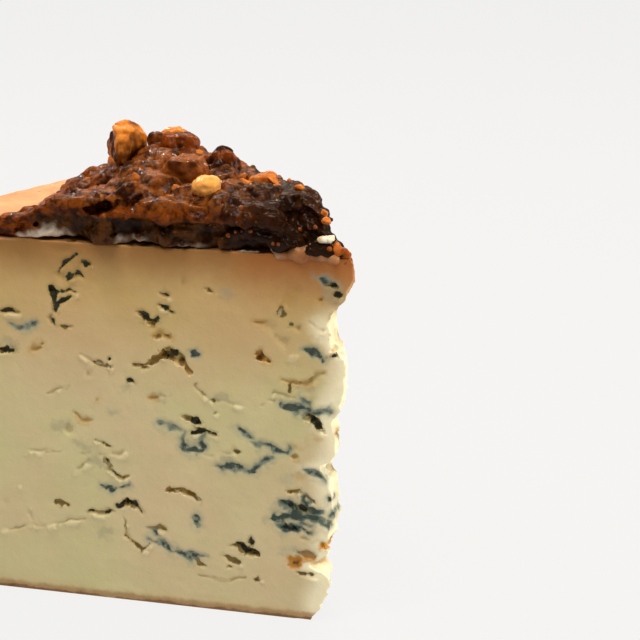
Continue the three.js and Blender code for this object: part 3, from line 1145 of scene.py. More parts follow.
# %% [markdown]
# ## The paste: figs and nuts cooked down
# The paste was spread on the wheel and went on drying, then the knife went through it. So the cut
# side shows layers: a wet foot, a seedy ledge that sticks out, and a wrinkled skin on top that hangs
# over. The foot is painted dark, partly as wet syrup and partly as painted shade under the ledge. It
# stops short of the rind and is thinnest there. A slab is spun like the cheese and its layers are
# sculpted. Lumps are added to it as balls, and a voxel remesh melts all of it into one skin. Slits
# are cut out as chains of balls, and the skin is sculpted once more with finer noise.
# Metaballs would melt too, but give no flat foot and no torn slits.

# %% Spin the slab of paste
PASTE_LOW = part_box("fig_nut_paste")[0].z / MM
PASTE_THICK = 9.2
PASTE_START = 2.5
PASTE_WIDE = 74
PASTE_SQUARE = 0.9
PASTE_STEPS = 48


def paste_reach(angle):
    """How far the paste reaches from the wheel's axis, in millimetres."""
    return 79 - 4 * smooth(angle, 0, 8) + 14 * smooth(angle, 14, 36)


def paste_top(distance, angle):
    """The height of the paste's top, before its lumps."""
    slope = smooth(paste_reach(angle) - distance, 0, 22)
    tip = smooth(distance, 3, 14)
    return PASTE_LOW + PASTE_THICK * (0.22 + 0.78 * slope) * (0.62 + 0.38 * tip)


slab_sizes = (PASTE_START, PASTE_WIDE, PASTE_LOW, PASTE_THICK, PASTE_SQUARE, PASTE_STEPS)
paste = spun("fig_and_nut_paste", *slab_sizes)

# %% Sculpt its layers
FOOT_TOP = 85.7
LEDGE_TOP = 88.2


def cut_layers(distance, height, side):
    """How far the cut side of the paste stands out at a height, in millimetres."""
    sway = 0.9 * np.sin(distance / 5.3 + side) + 0.5 * np.sin(distance / 2.1 + 2 * side)
    foot = FOOT_TOP + 0.3 * sway - 1.5 * smooth(distance, 60, 70)
    ledge = smooth(height, foot - 0.5, foot)
    skin = smooth(height, LEDGE_TOP + 0.5 * sway - 0.4, LEDGE_TOP + 0.5 * sway)
    return -0.8 + 2.3 * ledge - 0.6 * skin + 0.7 * sway * ledge


rows = places(paste)
distance, angle, height = polar(rows)
share = (height - PASTE_LOW) / PASTE_THICK
distance = PASTE_START + (distance - PASTE_START) * (paste_reach(angle) - PASTE_START) / PASTE_WIDE
height = PASTE_LOW + share * (paste_top(distance, angle) - PASTE_LOW)
rows = unpolar(distance, angle, height)
stands = []
for back, out in ((False, (0, -1, 0)), (True, (math.sin(WEDGE), math.cos(WEDGE), 0))):
    behind = cut_places(rows, back)[:, 2]
    stand = cut_layers(distance, height, 2 * back) * smooth(behind, 2.5, 0) * smooth(distance, 2, 10)
    stands.append(stand[:, None] * np.array(out) * MM)
place(paste, rows + stands[0] + stands[1])
print("slab", count(paste), "triangles, reach", round(float(distance.max()), 1))

# %% [markdown]
# ## Lumps, curls and slits
# The lumps are pieces of fig: big soft ones on top, smaller ones along the cuts. They are scattered
# by a seeded rule, and the few that are seen best are placed one by one: a curled lobe near the left
# end, ridges behind it, folds along the upper edge, and the mound that the nuts sit on.


# %% Lumps of fig
LUMP_SHAPE = [(0.8, 1.8), (0.7, 1.3), (0.5, 0.9)]


def fig_lumps(seed, number):
    """Random lumps over the paste, as places, turns and sizes."""
    luck = random.Random(seed)
    spots = []
    while len(spots) < number:
        s, a = luck.uniform(8, 88) ** 0.5 * 88**0.5, luck.uniform(1, 44)
        if s > paste_reach(a) - 6:
            continue
        wide = luck.choice([1.3, 1.8, 2.4, 3.2])
        height = float(paste_top(np.array([s]), np.array([a]))[0]) - 0.35 * wide
        size = Vector([wide * luck.uniform(low, high) for low, high in LUMP_SHAPE])
        turn = Euler((luck.gauss(0, 0.25), luck.gauss(0, 0.25), luck.uniform(0, 6.3)))
        spots.append((luck.choice([0, 1]), turned(s, a, height), turn.to_quaternion(), size * MM))
    return spots


def edge_lumps(seed, number, back):
    """Random lumps along a cut side of the paste."""
    luck = random.Random(seed)
    spots = []
    for lump in range(number):
        s = luck.uniform(9, 74)
        z = luck.choice([luck.uniform(81, 84.6), luck.uniform(86.8, 88.6), luck.uniform(86.8, 88.6)])
        wide = luck.uniform(0.7, 1.7)
        a = math.degrees(WEDGE) - 0.6 / s if back else 0.6 / s
        z = min(z, float(paste_top(np.array([s]), np.array([a]))[0]))
        size = Vector((wide * luck.uniform(1, 2), wide * 0.7, wide * luck.uniform(0.5, 0.9)))
        turn = Euler((luck.gauss(0, 0.3), luck.gauss(0, 0.25), math.radians(-a) + luck.gauss(0, 0.2)))
        spots.append((luck.choice([0, 1]), turned(s, a, z), turn.to_quaternion(), size * MM))
    return spots


def heap(s, angle, height, size, turn=(0, 0, 0)):
    """One lump: distance, angle and height, three half sizes in millimetres and a turn in degrees."""
    turning = Euler([math.radians(t) for t in turn]).to_quaternion()
    return (0, turned(s, angle, height), turning, Vector(size) * MM)


PLACED_LUMPS = [
    heap(60, 4, 86.0, (6, 3, 1.9), (0, 14, -10)),
    heap(56, 9, 87.6, (5, 4, 2.2), (0, 8, -20)),
    heap(52, 3.5, 89.3, (3.6, 1.8, 1.4), (0, -14, 0)),
    heap(48, 3, 90.3, (3, 1.7, 1.3), (0, -34, 0)),
    heap(46, 14, 90.2, (6, 4, 2.6), (0, 0, -20)),
    heap(52, 20, 90.2, (7, 5, 3.2), (0, 0, -30)),
    heap(44, 3, 87.8, (7, 2.2, 1.9), (0, 4, 0)),
    heap(35, 2, 87.0, (6, 2.2, 2.0), (0, 8, 0)),
    heap(30, 3, 86.6, (4, 2.2, 1.8), (0, 14, 0)),
    heap(36, 12, 89.0, (5, 3.5, 2.4), (0, 8, -10)),
    heap(30, 18, 89.4, (4, 3, 2.4), (0, 8, -20)),
    heap(25, 8, 88.6, (3.5, 2.4, 2.0), (0, 16, 0)),
    heap(23, 22, 89.4, (4, 2.6, 1.8), (0, 10, -15)),
    heap(17, 14, 87.4, (3, 2.2, 2.2), (0, 20, 0)),
    heap(15, 28, 86.6, (2.6, 2.2, 3.2), (0, 0, 0)),
    heap(71, 3, 82.3, (4.5, 3.0, 1.7), (0, 10, -6)),
    heap(7, 10, 81.7, (3, 1.5, 1.2), (0, 10, 0)),
]
MOUND = [
    heap(52, 26, 90.4, (9, 6, 4.2), (0, 4, -25)),
    heap(59, 27, 88.2, (7, 6, 3.6), (0, 12, -25)),
    heap(46, 30, 89.8, (8, 6, 4.0), (0, 0, -30)),
    heap(57.5, 31, 93.2, (2.6, 2.4, 2.8), (0, 0, 0)),
    heap(38, 28, 89.2, (6, 5, 3.6), (0, 0, -30)),
    heap(66, 27, 85.6, (6, 5, 2.6), (0, 16, -30)),
    heap(64.5, 29, 90.0, (2.0, 1.8, 2.4), (0, 0, 0)),
]
spots = PLACED_LUMPS + MOUND + fig_lumps(8, 64) + edge_lumps(9, 64, False) + edge_lumps(10, 50, True)
joined(paste, copies("lumps_of_fig", [ball(3, 0.2, 51, 0.9), ball(3, 0.25, 52, 0.7)], spots))
melted(paste, 0.42, 1)
roughened(paste, [(0.9, 6, 50), (0.65, 3.2, 53), (0.3, 1.8, 54), (0.1, 0.9, 55)])


def torn_end(height):
    """How far the torn end of the paste stands from the wheel's axis, in millimetres."""
    return 3.0 + np.clip(height - 80, 0, 14) * 0.85


def torn_rough(rows):
    """The torn end's roughness in millimetres."""
    return 0.9 * lumps(rows, 3.5, 48) + 0.6 * lumps(rows, 1.5, 49)


cut(paste, break_block("torn_end", 40, 70, 100, torn_end, torn_rough))
print("melted paste", count(paste), "triangles")

# %% Slits and the hollow by the tip
PASTE_SLITS = [
    (1.0, (55, 87.2), (51, 87.6), (47.5, 88.2), (44.5, 88.8)),
    (0.4, (44, 84.6), (40, 84.7), (36, 84.6)),
    (0.5, (31, 84.6), (27, 84.8), (23, 85.3)),
    (0.45, (66, 83.2), (63.5, 83.6)),
    (0.5, (70.5, 81.8), (68.5, 83)),
    (0.35, (52, 82.2), (49, 82)),
    (0.4, (22, 83), (20, 82.2)),
]
holes = chain("slits", front, PASTE_SLITS, random.Random(4), deep=3.5)
opened(paste, holes, 0.3, [(0.25, 1.2, 56)])
TIP_HOLLOW = [
    (2.2, (12.6, 90), (11.6, 88)),
    (2.8, (13.2, 88.6), (12.2, 86.4)),
    (2.6, (12, 86), (11, 84.6)),
    (1.8, (11, 83.6), (9.4, 83)),
]
holes = chain("hollow", lambda s, z: front(s, z, 1.4), TIP_HOLLOW, random.Random(6), deep=1.6)
opened(paste, holes, 0.3, [(0.8, 3, 57), (0.7, 1.4, 58), (0.3, 0.7, 59)])


# %% Finer relief, and a foot that rests on the cheese
def swell(piece, rounds):
    """How far each vertex stands out of the smoothed piece, in millimetres."""
    rows = places(piece)
    soft = piece.copy()
    soft.data = piece.data.copy()
    bpy.context.scene.collection.objects.link(soft)
    modify(soft, "SMOOTH", factor=0.5, iterations=rounds)
    stand = ((rows - places(soft)) * normals(piece)).sum(axis=1) / MM
    bpy.data.objects.remove(soft)
    return stand


melted(paste, 0.36)
rows = places(paste)
distance, angle, height = polar(rows)
along_slope = rows * np.array([1.6, 0.55, 1])
crease = -smooth(abs(lumps(along_slope, 2.6, 61)), 0.3, 0.0) * (0.6 + 0.6 * lumps(rows, 7, 62))
seedy = smooth(distance + 5 * lumps(rows, 5, 65), 36, 26)
on_foot = smooth(height, FOOT_TOP + 0.3, FOOT_TOP - 0.5) * (1 - seedy)
fine_part = (0.07 + 0.22 * seedy) * lumps(rows, 0.9, 63) + 0.4 * seedy * lumps(rows, 1.6, 64)
move = 0.65 * crease * (1 - seedy) * (1 - 0.7 * on_foot) + fine_part
rows = rows + normals(paste) * move[:, None] * MM
rows[:, 2] = np.maximum(rows[:, 2], PASTE_LOW * MM)
place(paste, rows)
remember(paste, "swell", swell(paste, 12))
remember(paste, "axis", distance)
MILK = [
    (1.9, (71, 79.6), (66, 80.2), (62, 80.6), (58, 80)),
    (0.9, (64, 81.6), (58, 81.4)),
    (0.5, (52, 80), (48, 81.3), (44, 81), (41, 80)),
    (0.6, (50, 80), (43, 79.8)),
    (0.5, (38, 80), (30, 80)),
]
remember(paste, "milk", stroke_distance(cut_places(rows, False), MILK))
shaded(paste)
print("paste", count(paste), "triangles, box", box_mm(rows))

# %% [markdown]
# ## The paste's material
# Fig paste is a dark syrup full of flesh and seeds. Thick parts are nearly black-brown, and the dried
# skin on top is a dull mauve brown. Thin edges and ridges that stand out are painted a lighter orange,
# a painted glow and highlight, and creases and slits are painted near-black, a painted shade. The
# foot is painted dark, partly as wet syrup and partly as painted shade under the ledge. So the colour
# goes by three things: how far a spot stands out, its height in the layers, and how near it is to the
# tip, where it is nearly black. Cheese that the knife dragged up over the foot is drawn as whitish
# strokes. The gloss is a low roughness with a thin coat, and fine grains of sugar and seed in the
# bump give the sparkle.


# %% Paste material
def paste_material():
    f = Finish("fig_paste")
    z = f.up()
    blotch, patch = f.noise(6, shift=31), f.noise(2.5, shift=33)
    fine, grain = f.noise(0.9, shift=35), f.noise(0.4)
    stand, axis = f.stored("swell"), f.stored("axis")

    mottle = f.edge(f.noise(1.5, detail=5, rough=0.65, shift=47), 0.38, 0.62)
    mauve = f.blend(mottle, tint(46, 18, 4), tint(130, 70, 26))
    amber = f.blend(mottle, tint(46, 15, 2), tint(120, 56, 10))
    # Painted shade: the foot's dark colour is partly wet syrup and partly the shade under the ledge that
    # hangs over it.
    wet = f.blend(mottle, tint(28, 12, 2), tint(74, 43, 15))
    foot = f.edge(z + (patch - 0.5) * 1.5, FOOT_TOP + 0.3, FOOT_TOP - 0.5) * f.edge(axis, 69, 64)
    sheet = f.edge(z + (blotch - 0.5) * 5, LEDGE_TOP - 0.6, LEDGE_TOP + 0.8) * f.edge(axis, 70, 62)
    f.colour = f.blend(sheet * f.edge(blotch, 0.7, 0.5), amber, mauve)
    f.paint(foot * 0.9, wet)
    f.paint(f.edge(axis + (blotch - 0.5) * 16, 32, 20) * 0.88, tint(30, 13, 4))
    f.paint(f.edge(axis, 64, 70) * 0.6, f.blend(mottle, tint(70, 26, 6), tint(150, 74, 22)))
    # Painted highlight: what stands out of the smoothed paste is painted lighter orange, a painted glow
    # for light through thin edges and on ridges.
    rim = f.edge(stand + (fine - 0.5) * 0.4, 0.1, 0.5) * f.edge(axis, 14, 30)
    f.paint(rim * 0.6, tint(176, 98, 36))
    # Painted shade: what lies below the smoothed paste, in creases and slits, is painted near-black.
    deep = f.edge(stand + (fine - 0.5) * 0.3, -0.05, -0.4)
    f.paint(deep * 0.9, tint(14, 6, 2))
    seed = f.edge(f.cells(1.3, shift=4), 0.3, 0.18) * f.edge(f.noise(3, shift=41), 0.5, 0.6)
    f.paint(seed * f.edge(axis, 40, 28) * 0.3, tint(140, 70, 20))
    skin = f.edge(f.noise(1.6, shift=43), 0.58, 0.72)
    f.paint(skin * 0.25 * (1 - foot), tint(146, 88, 44))
    milk = f.edge(f.stored("milk") + (patch - 0.5) * 2 + (fine - 0.5) * 1.2, 0.9, -1.3)
    f.paint(milk * 0.92, tint(208, 188, 166))

    rough = 0.34 + (fine - 0.5) * 0.3 + foot * 0.05
    normal = f.bump(f.noise(1.2, detail=5, shift=45), 0.3)
    normal = f.bump(seed * 0.7 + grain * 0.8, 0.16, normal)
    return f.surface(
        Roughness=rough,
        Normal=normal,
        Specular_IOR_Level=0.03,
        Coat_Weight=0.1,
        Coat_Roughness=0.08,
        **soft(0.06, (1.0, 0.35, 0.12), 1.5),
    )


dress(paste, paste_material(), "paste", "fig_nut_paste")

# %% [markdown]
# ## Nuts
# The nuts are broken walnuts in syrup. A whole half would be a wrinkled dome, but chopped pieces are
# chunks: some round sides of the kernel with furrows, some flat broken sides. Each is a ball, made
# uneven, cut by planes where it broke, melted so that the edges soften as under a glaze, and furrowed
# by a creased noise. Every one fills the box of its own solid.


# %% Model one nut piece
def broken(piece, direction, far):
    """Breaks off what lies past a plane, given by a direction and a distance from the middle."""
    way = Vector(direction).normalized()
    with editing(piece):
        bpy.ops.mesh.bisect(plane_co=way * far, plane_no=way, use_fill=True, clear_outer=True)


def nut(name, node, seed, breaks, furrow):
    """A piece of nut in the box of a node, broken off at planes: a direction and a distance each."""
    low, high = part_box(node)
    half = (high - low) / 2
    middle = (high + low) / 2
    piece = ball(5, 0.28, seed, 1.1)
    for direction, far in breaks:
        broken(piece, direction, far)
    rows = places(piece)
    rows = (rows - (rows.max(0) + rows.min(0)) / 2) / ((rows.max(0) - rows.min(0)) / 2)
    place(piece, rows * np.array(half) + np.array(middle))
    melted(piece, 0.22, 4)
    rows = places(piece)
    groove = -furrow * smooth(abs(lumps(rows * np.array([1, 1, 0.6]), 2.6, seed + 1)), 0.35, 0.0)
    move = groove + 0.3 * lumps(rows, 1.6, seed + 2) + 0.12 * lumps(rows, 0.7, seed + 3)
    place(piece, rows + normals(piece) * move[:, None] * MM)
    shaded(piece)
    remember(piece, "swell", swell(piece, 10))
    return named(piece, name)


DARK_BREAKS = [((0.6, -0.7, 0.1), 0.6), ((0.1, 0, 1), 0.8), ((-0.8, 0.2, 0.3), 0.85)]
NUTS = [
    ("round_golden_nut", 1, 71, [((-1, -0.6, 0.2), 0.75), ((0.9, -0.5, -0.1), 0.8)], 0.5, "golden"),
    ("dark_nut", 2, 75, DARK_BREAKS, 0.6, "dark"),
    ("spiky_nut", 3, 79, [((0.3, -0.8, 0.3), 0.7), ((-0.7, -0.4, 0.5), 0.75)], 1.0, "dark"),
    ("block_of_nut", 4, 83, [((0, -1, 0), 0.55), ((0, 0, 1), 0.6), ((0.7, 0, 0.7), 0.8)], 0.3, "brown"),
    ("pale_nut", 5, 87, [((0.2, -1, 0.1), 0.9)], 0.2, "pale"),
    ("amber_nut", 6, 91, [((0.2, -1, 0.1), 0.5), ((-0.1, 0, 1), 0.6), ((1, 0.1, 0), 0.6)], 0.3, "amber"),
    ("left_nut", 7, 95, [((-0.4, -0.8, 0.3), 0.6), ((0.7, -0.2, 0.6), 0.7)], 0.6, "brown"),
    ("back_nut", 8, 99, [((0.5, 0.7, 0.4), 0.6), ((-0.7, 0.3, 0.6), 0.6)], 0.6, "golden"),
    ("rim_nut", 9, 103, [((-0.6, 0.5, 0.6), 0.6), ((0.3, -0.9, 0.2), 0.7)], 0.6, "brown"),
]

# %% [markdown]
# ## The nuts' material
# Where syrup lies thick a nut is dark and shines, and where the kernel was broken it is golden. One
# function does for all: two colours, mixed by patches, with a painted highlight on what stands out
# and painted shade in the furrows, partly as syrup that pools there, under a thin coat. Each finish
# has its own three colours.


# %% Nut materials
def nut_material(name, light, dark, painted_highlight, share):
    f = Finish("nut_" + name)
    patch, fine = f.noise(4.5, shift=53), f.noise(0.8, shift=55)
    streak = f.noise(0.7, stretch=(1, 1, 0.35), shift=57)
    stand = f.stored("swell")
    f.colour = f.blend(f.edge(patch, share - 0.08, share + 0.08), light, dark)
    # Painted highlight: what stands out of the smoothed nut is painted lighter.
    f.paint(f.edge(stand + (fine - 0.5) * 0.3, 0.05, 0.35) * 0.6, painted_highlight)
    # Painted shade: the furrows are painted near-black, partly as syrup that pools there.
    f.paint(f.edge(stand + (fine - 0.5) * 0.3, -0.05, -0.35) * 0.85, tint(40, 17, 6))
    f.paint(f.edge(streak, 0.5, 0.75) * 0.35, dark)
    normal = f.bump(f.noise(1.0, detail=4, shift=59), 0.15)
    normal = f.bump(streak, 0.06, normal)
    return f.surface(
        Roughness=0.24 + (fine - 0.5) * 0.3,
        Normal=normal,
        Specular_IOR_Level=0.04,
        Coat_Weight=0.1,
        Coat_Roughness=0.06,
        **soft(0.25, (1.0, 0.45, 0.15), 1.5),
    )


NUT_FINISHES = {
    "golden": nut_material("golden", tint(216, 130, 48), tint(74, 30, 9), tint(240, 172, 88), 0.53),
    "dark": nut_material("dark", tint(128, 60, 18), tint(40, 16, 5), tint(180, 94, 28), 0.45),
    "brown": nut_material("brown", tint(140, 76, 28), tint(82, 38, 12), tint(184, 110, 50), 0.52),
    "pale": nut_material("pale", tint(226, 158, 78), tint(128, 64, 20), tint(250, 208, 138), 0.53),
    "amber": nut_material("amber", tint(196, 112, 42), tint(112, 50, 16), tint(228, 158, 84), 0.55),
}
for name, number, seed, breaks, furrow, finish in NUTS:
    piece = nut(name, f"nut_piece_{number}", seed, breaks, furrow)
    dress(piece, NUT_FINISHES[finish], "nut", f"nut_piece_{number}")
    print(name, count(piece), "triangles")

# %% [markdown]
# ## Seeds, chips and crumbs
# Fig seeds are round grains of half a millimetre to a bit over one, thick on the cut side and towards
# the tip. Small chips of nut stick out of the paste. Each kind is one piece at true size: a small
# model is copied onto vertices of the paste that a seeded rule chooses, and some chips are placed one
# by one.


# %% Seeds
def seats(piece, wanted, number, seed, sink, size, flat=1.0):
    """Random places on the wanted vertices, each with a turn to its normal and a size."""
    luck = random.Random(seed)
    rows, out = places(piece), normals(piece)
    chosen = luck.sample(list(np.flatnonzero(wanted)), number)
    spots = []
    for vertex in chosen:
        wide = luck.uniform(*size)
        way = Vector(out[vertex])
        turn = way.to_track_quat("Z", "Y") @ Euler((0, 0, luck.uniform(0, 6.3))).to_quaternion()
        spot = Vector(rows[vertex]) + way * (0.5 - sink) * wide * MM
        sizes = Vector((wide * luck.uniform(0.85, 1.2), wide, wide * flat)) * MM / 2
        spots.append((0, spot, turn, sizes))
    return spots


rows, out = places(paste), normals(paste)
distance, angle, height = polar(rows)
facing_front = (out[:, 1] < -0.35) & (cut_places(rows, False)[:, 2] < 4)
ledge = facing_front & (height > 84.6) & (height < 88)
near_tip = (distance < 27) & (height > 81.5) & (out[:, 2] > -0.3)
anywhere = (height > 82) & (out[:, 2] > -0.2)
spots = seats(paste, ledge, 12, 21, 0.65, (0.5, 0.8))
spots += seats(paste, near_tip & facing_front, 12, 22, 0.5, (0.7, 1.2))
spots += seats(paste, near_tip, 8, 23, 0.6, (0.5, 0.8))
spots += seats(paste, anywhere, 16, 24, 0.75, (0.5, 0.8))
seeds = shaded(copies("fig_seeds", [ball(2)], spots))


def small_finish(name, shift, patch, tones, dents, rough, speck=None, **look):
    """A finish for small things. Patch is a noise's size and edges, dents a size and a depth, and rough
    the least roughness, what a noise adds to it, and that noise's size."""
    f = Finish(name)
    shifts = itertools.count(shift, 2)
    size, low, high = patch
    f.colour = f.blend(f.edge(f.noise(size, shift=next(shifts)), low, high), *tones)
    if speck:
        f.paint(f.noise(0.4, shift=next(shifts)) * 0.4, speck)
    normal = f.bump(f.noise(dents[0], shift=next(shifts)), dents[1])
    least, more, grain = rough
    return f.surface(Roughness=least + f.noise(grain, shift=next(shifts)) * more, Normal=normal, **look)


seed_finish = small_finish(
    "fig_seed",
    shift=61,
    patch=(1.5, 0.35, 0.65),
    tones=(tint(60, 24, 6), tint(146, 74, 22)),
    speck=tint(110, 52, 18),
    dents=(0.4, 0.04),
    rough=(0.2, 0.2, 0.6),
    Specular_IOR_Level=0.1,
    Coat_Weight=0.15,
    Coat_Roughness=0.1,
    **soft(0.2, (1.0, 0.5, 0.2), 0.8),
)
dress(seeds, seed_finish, "paste")
print("seeds", len(spots), "and", count(seeds), "triangles")


# %% Chips of nut
def chip(seed):
    """A small angular flake."""
    piece = ball(3, 0.35, seed, 0.8)
    luck = random.Random(seed)
    for side in range(4):
        broken(piece, [luck.gauss(0, 1) for axis in range(3)], 0.5)
    return modify(piece, "REMESH", mode="VOXEL", voxel_size=0.16)


raised = (height > 86.5) & (out[:, 2] > 0.3)
spots = seats(paste, raised, 11, 25, 0.5, (1.6, 3.0), 0.8)
spots += seats(paste, near_tip & (out[:, 2] > 0), 5, 26, 0.35, (1.4, 2.4), 0.8)
spots = [(number % 3, *spot[1:]) for number, spot in enumerate(spots)]
spots += [
    heap(30, 29, 89.6, (2.2, 1.8, 1.6), (0, 20, 30)),
    heap(26.5, 33, 89.4, (1.8, 1.6, 1.6), (20, 0, 70)),
    heap(33, 33, 90.4, (1.8, 1.5, 1.3), (0, -20, 10)),
    heap(28.5, 34.5, 88.3, (2.4, 1.5, 1.7), (0, -20, 0)),
    heap(32, 44.5, 88, (1.6, 1.3, 1.4), (0, 30, 20)),
    heap(39, 11.5, 89.8, (1.8, 1.3, 1.2), (0, 10, 0)),
    heap(37, 12.5, 89.6, (1.6, 1.2, 1.0), (0, -20, 30)),
    heap(43, 17, 90.3, (2.4, 1.8, 1.3), (0, 10, 0)),
    heap(71, 30, 88.2, (1.8, 1.5, 1.8), (0, 0, 40)),
]
chips = copies("nut_chips", [chip(31), chip(32), chip(33)], spots)
only(chips)
bpy.ops.object.shade_smooth_by_angle(angle=math.radians(50))
remember(chips, "swell", swell(chips, 3))
dress(chips, NUT_FINISHES["amber"], "nut")
print("chips", count(chips), "triangles")

# %% [markdown]
# ## Smeared cheese and crumbs
# The knife pulled a little cheese up over the foot of the paste: two thin, whitish smears along the
# top edge of the front cut, and a soft lip towards the tip. Both are chains of balls, melted and
# roughened, and so is the drip of syrup at the tip's upper corner. The white crumb near the tip fell
# there when the last of the tip broke, and three smaller ones lie further off.

# %% Smear and lip
SMEAR = [
    (0.25, (33, 80), (28, 80)),
    (0.3, (26, 80), (20, 80.2)),
]
LIP = [(1.3, (17, 80.2), (13, 80.5), (9, 80.3), (5.5, 79.9))]
smear = chain("smeared_cheese", lambda s, z: front(s, z, 0.5), SMEAR, random.Random(7), deep=1.0)
lip = chain("lip", lambda s, z: front(s, z, 0.3), LIP, random.Random(8), deep=1.0)
joined(smear, melted(lip, 0.26, 14))
melted(smear, 0.2, 2)
roughened(smear, [(0.15, 1.8, 81), (0.06, 0.6, 82)])
shaded(smear)
remember(smear, "axis", polar(places(smear))[0])


def smear_material():
    f = Finish("smeared_cheese")
    patch, fine = f.noise(2.5, shift=71), f.noise(0.9, shift=73, stretch=(0.5, 0.5, 1))
    white = f.blend(f.edge(patch, 0.4, 0.65), tint(176, 156, 130), tint(116, 84, 54))
    pink = f.blend(f.edge(patch, 0.4, 0.7), tint(168, 114, 72), tint(142, 84, 44))
    f.colour = f.blend(f.edge(f.stored("axis"), 17, 15), white, pink)
    z = f.up()
    wet = f.edge(z + (patch - 0.5) * 1.5, 81.1, 81.9) | f.edge(fine, 0.55, 0.7)
    f.paint(wet * 0.7, tint(104, 70, 42))
    foot = f.edge(f.stored("axis"), 17, 15) * f.edge(z, 79.6, 78.6)
    f.paint(foot * 0.7, tint(140, 80, 40))
    normal = f.bump(f.noise(1.0, shift=75), 0.1)
    return f.surface(
        Roughness=0.3 + fine * 0.2,
        Normal=normal,
        Specular_IOR_Level=0.1,
        Coat_Weight=0.1,
        Coat_Roughness=0.15,
        **soft(0.3, (1.0, 0.6, 0.3), 1.5),
    )


dress(smear, smear_material(), "cheese")
print("smear", count(smear), "triangles")

# %% Drip of syrup
SYRUP = [
    (0.8, (6.5, 81.6), (4, 81.2)),
    (0.8, (3.4, 80.8), (2.6, 79)),
    (0.6, (2.4, 79), (2.6, 77.2), (3.4, 76)),
]
syrup = chain("syrup_drip", lambda s, z: front(s, z, 1.2), SYRUP, random.Random(12), deep=1.6)
melted(syrup, 0.18, 3)
shaded(roughened(syrup, [(0.25, 1.4, 85)]))
syrup_finish = small_finish(
    "fig_syrup",
    shift=83,
    patch=(1.4, 0.4, 0.65),
    tones=(tint(180, 98, 34), tint(130, 62, 18)),
    dents=(0.8, 0.08),
    rough=(0.15, 0.15, 0.7),
    Specular_IOR_Level=0.06,
    **soft(0.3, (1.0, 0.4, 0.1), 1.5),
)
dress(syrup, syrup_finish, "paste")
print("syrup", count(syrup), "triangles")

# %% Crumbs
CRUMBS = [
    heap(7.2, 8, 83.3, (1.5, 1.0, 0.85), (0, 5, 10)),
    heap(6.2, 10, 83.5, (1.0, 0.9, 0.7), (0, -10, 40)),
    heap(66, 6, 84.4, (0.5, 0.4, 0.3)),
    heap(22, 1, 86.0, (0.5, 0.4, 0.8)),
]
crumbs = shaded(copies("cheese_crumbs", [ball(4, 0.3, 83, 0.8)], CRUMBS))
crumb_finish = small_finish(
    "cheese_crumb",
    shift=77,
    patch=(0.8, 0.4, 0.65),
    tones=(tint(246, 230, 202), tint(230, 202, 156)),
    dents=(0.5, 0.08),
    rough=(0.45, 0.15, 0.7),
    **soft(0.3, (1.0, 0.7, 0.4), 1),
)
dress(crumbs, crumb_finish, "cheese")
print("crumbs", count(crumbs), "triangles")

# %% [markdown]
# ## Floor, light and camera
# The wedge stands on a board that glows a little, so that the floor stays white in the wedge's shade.
# Soft warm light comes from all round, more from behind than from the front. A large lamp on the
# right gives the broken tip its bright rim, a soft one above the front shows the relief of the cut,
# one behind lights the top, and three small bright ones make the highlights on the syrup.

# %% Floor
FLOOR_WIDE = 6
FLOOR_GAP = 0.05 * MM
bpy.ops.object.select_all(action="DESELECT")
bpy.ops.mesh.primitive_plane_add(size=FLOOR_WIDE, location=(0, 0, -FLOOR_GAP))
floor = made("floor")
settle(floor)
board = Finish("white_board")
board.colour = board.blend(board.noise(60), tint(54, 54, 53), tint(51, 51, 50))
board_finish = board.surface(
    Roughness=0.6,
    Specular_IOR_Level=0.05,
    Normal=board.bump(board.noise(2), 0.02),
    Emission_Color=(1, 0.995, 0.985, 1),
    Emission_Strength=0.84,
)
floor.data.materials.append(board_finish)
floor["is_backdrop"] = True
print("floor", FLOOR_WIDE, "m wide")

# %% The room's light
ROOM_TINT = (1, 0.91, 0.8, 1)
ROOM_LIGHT = {"From Min": -0.6, "To Min": 0.12, "From Max": 0.5, "To Max": 0.4}

world = bpy.data.worlds.new("warm_room")
bpy.context.scene.world = world
world.use_nodes = True
tree = world.node_tree
background = tree.nodes["Background"]
background.inputs["Color"].default_value = ROOM_TINT
around = tree.nodes.new("ShaderNodeTexCoord")
split = tree.nodes.new("ShaderNodeSeparateXYZ")
ramp = tree.nodes.new("ShaderNodeMapRange")
for key, value in ROOM_LIGHT.items():
    ramp.inputs[key].default_value = value
tree.links.new(around.outputs["Generated"], split.inputs[0])
tree.links.new(split.outputs["Y"], ramp.inputs["Value"])
tree.links.new(ramp.outputs[0], background.inputs["Strength"])


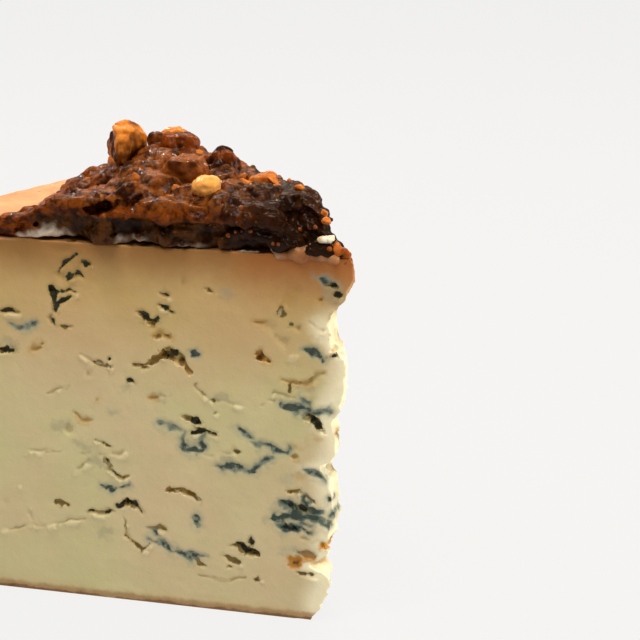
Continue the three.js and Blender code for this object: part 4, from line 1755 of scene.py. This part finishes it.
# %% Lamps
AMBER_LIGHT = (1, 0.9, 0.78)
LAMPS = [
    ("right_window", (0.6, -0.06, 0.25), (0.03, 0, 0.05), 0.35, 2.6, (1, 0.98, 0.94)),
    ("top_window", (-0.1, -0.22, 0.6), (0, -0.02, 0.05), 0.3, 2.1, (1, 0.99, 0.97)),
    ("back_window", (-0.1, 0.55, 0.6), (0, 0, 0.08), 0.25, 1.4, AMBER_LIGHT),
    ("front_sparkle", (-0.05, -0.12, 0.6), (0, -0.02, 0.09), 0.05, 0.9, (1, 0.92, 0.82)),
    ("left_sparkle", (-0.3, 0.4, 0.45), (0, 0, 0.09), 0.05, 1.2, AMBER_LIGHT),
    ("right_sparkle", (0.25, 0.35, 0.5), (0, 0, 0.09), 0.05, 1.2, AMBER_LIGHT),
]
for name, spot, aim, size, power, colour in LAMPS:
    light = bpy.data.lights.new(name, "AREA")
    light.size = size
    light.energy = power
    light.color = colour
    holder = bpy.data.objects.new(name, light)
    holder.location = spot
    holder.rotation_euler = (Vector(aim) - Vector(spot)).to_track_quat("-Z", "Y").to_euler()
    bpy.context.scene.collection.objects.link(holder)
print("lamps", [row[0] for row in LAMPS])

# %% Camera
VIEW_TURN = 12
VIEW_DOWN = 19.5
CAMERA_LENS = 81.56
CAMERA_RIGHT, CAMERA_UP, CAMERA_AWAY = 47.47, 161.7, 260.83
camera_data = bpy.data.cameras.new("camera")
camera_data.lens = CAMERA_LENS
camera_data.clip_start = 0.01
camera = bpy.data.objects.new("camera", camera_data)
camera.location = front(-CAMERA_RIGHT, CAMERA_UP, -CAMERA_AWAY)
camera.rotation_euler = (math.radians(90 - VIEW_DOWN), 0, math.radians(VIEW_TURN))
bpy.context.scene.collection.objects.link(camera)
bpy.context.scene.camera = camera
bpy.context.scene.view_settings.view_transform = "Standard"
print("camera at", [round(c, 3) for c in camera.location])

# %% Print the sizes and finish
sizes = {"cad": cad_box, "visual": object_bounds()}
sizes = {name: [list(corner) for corner in box] for name, box in sizes.items()}
print(sizes)
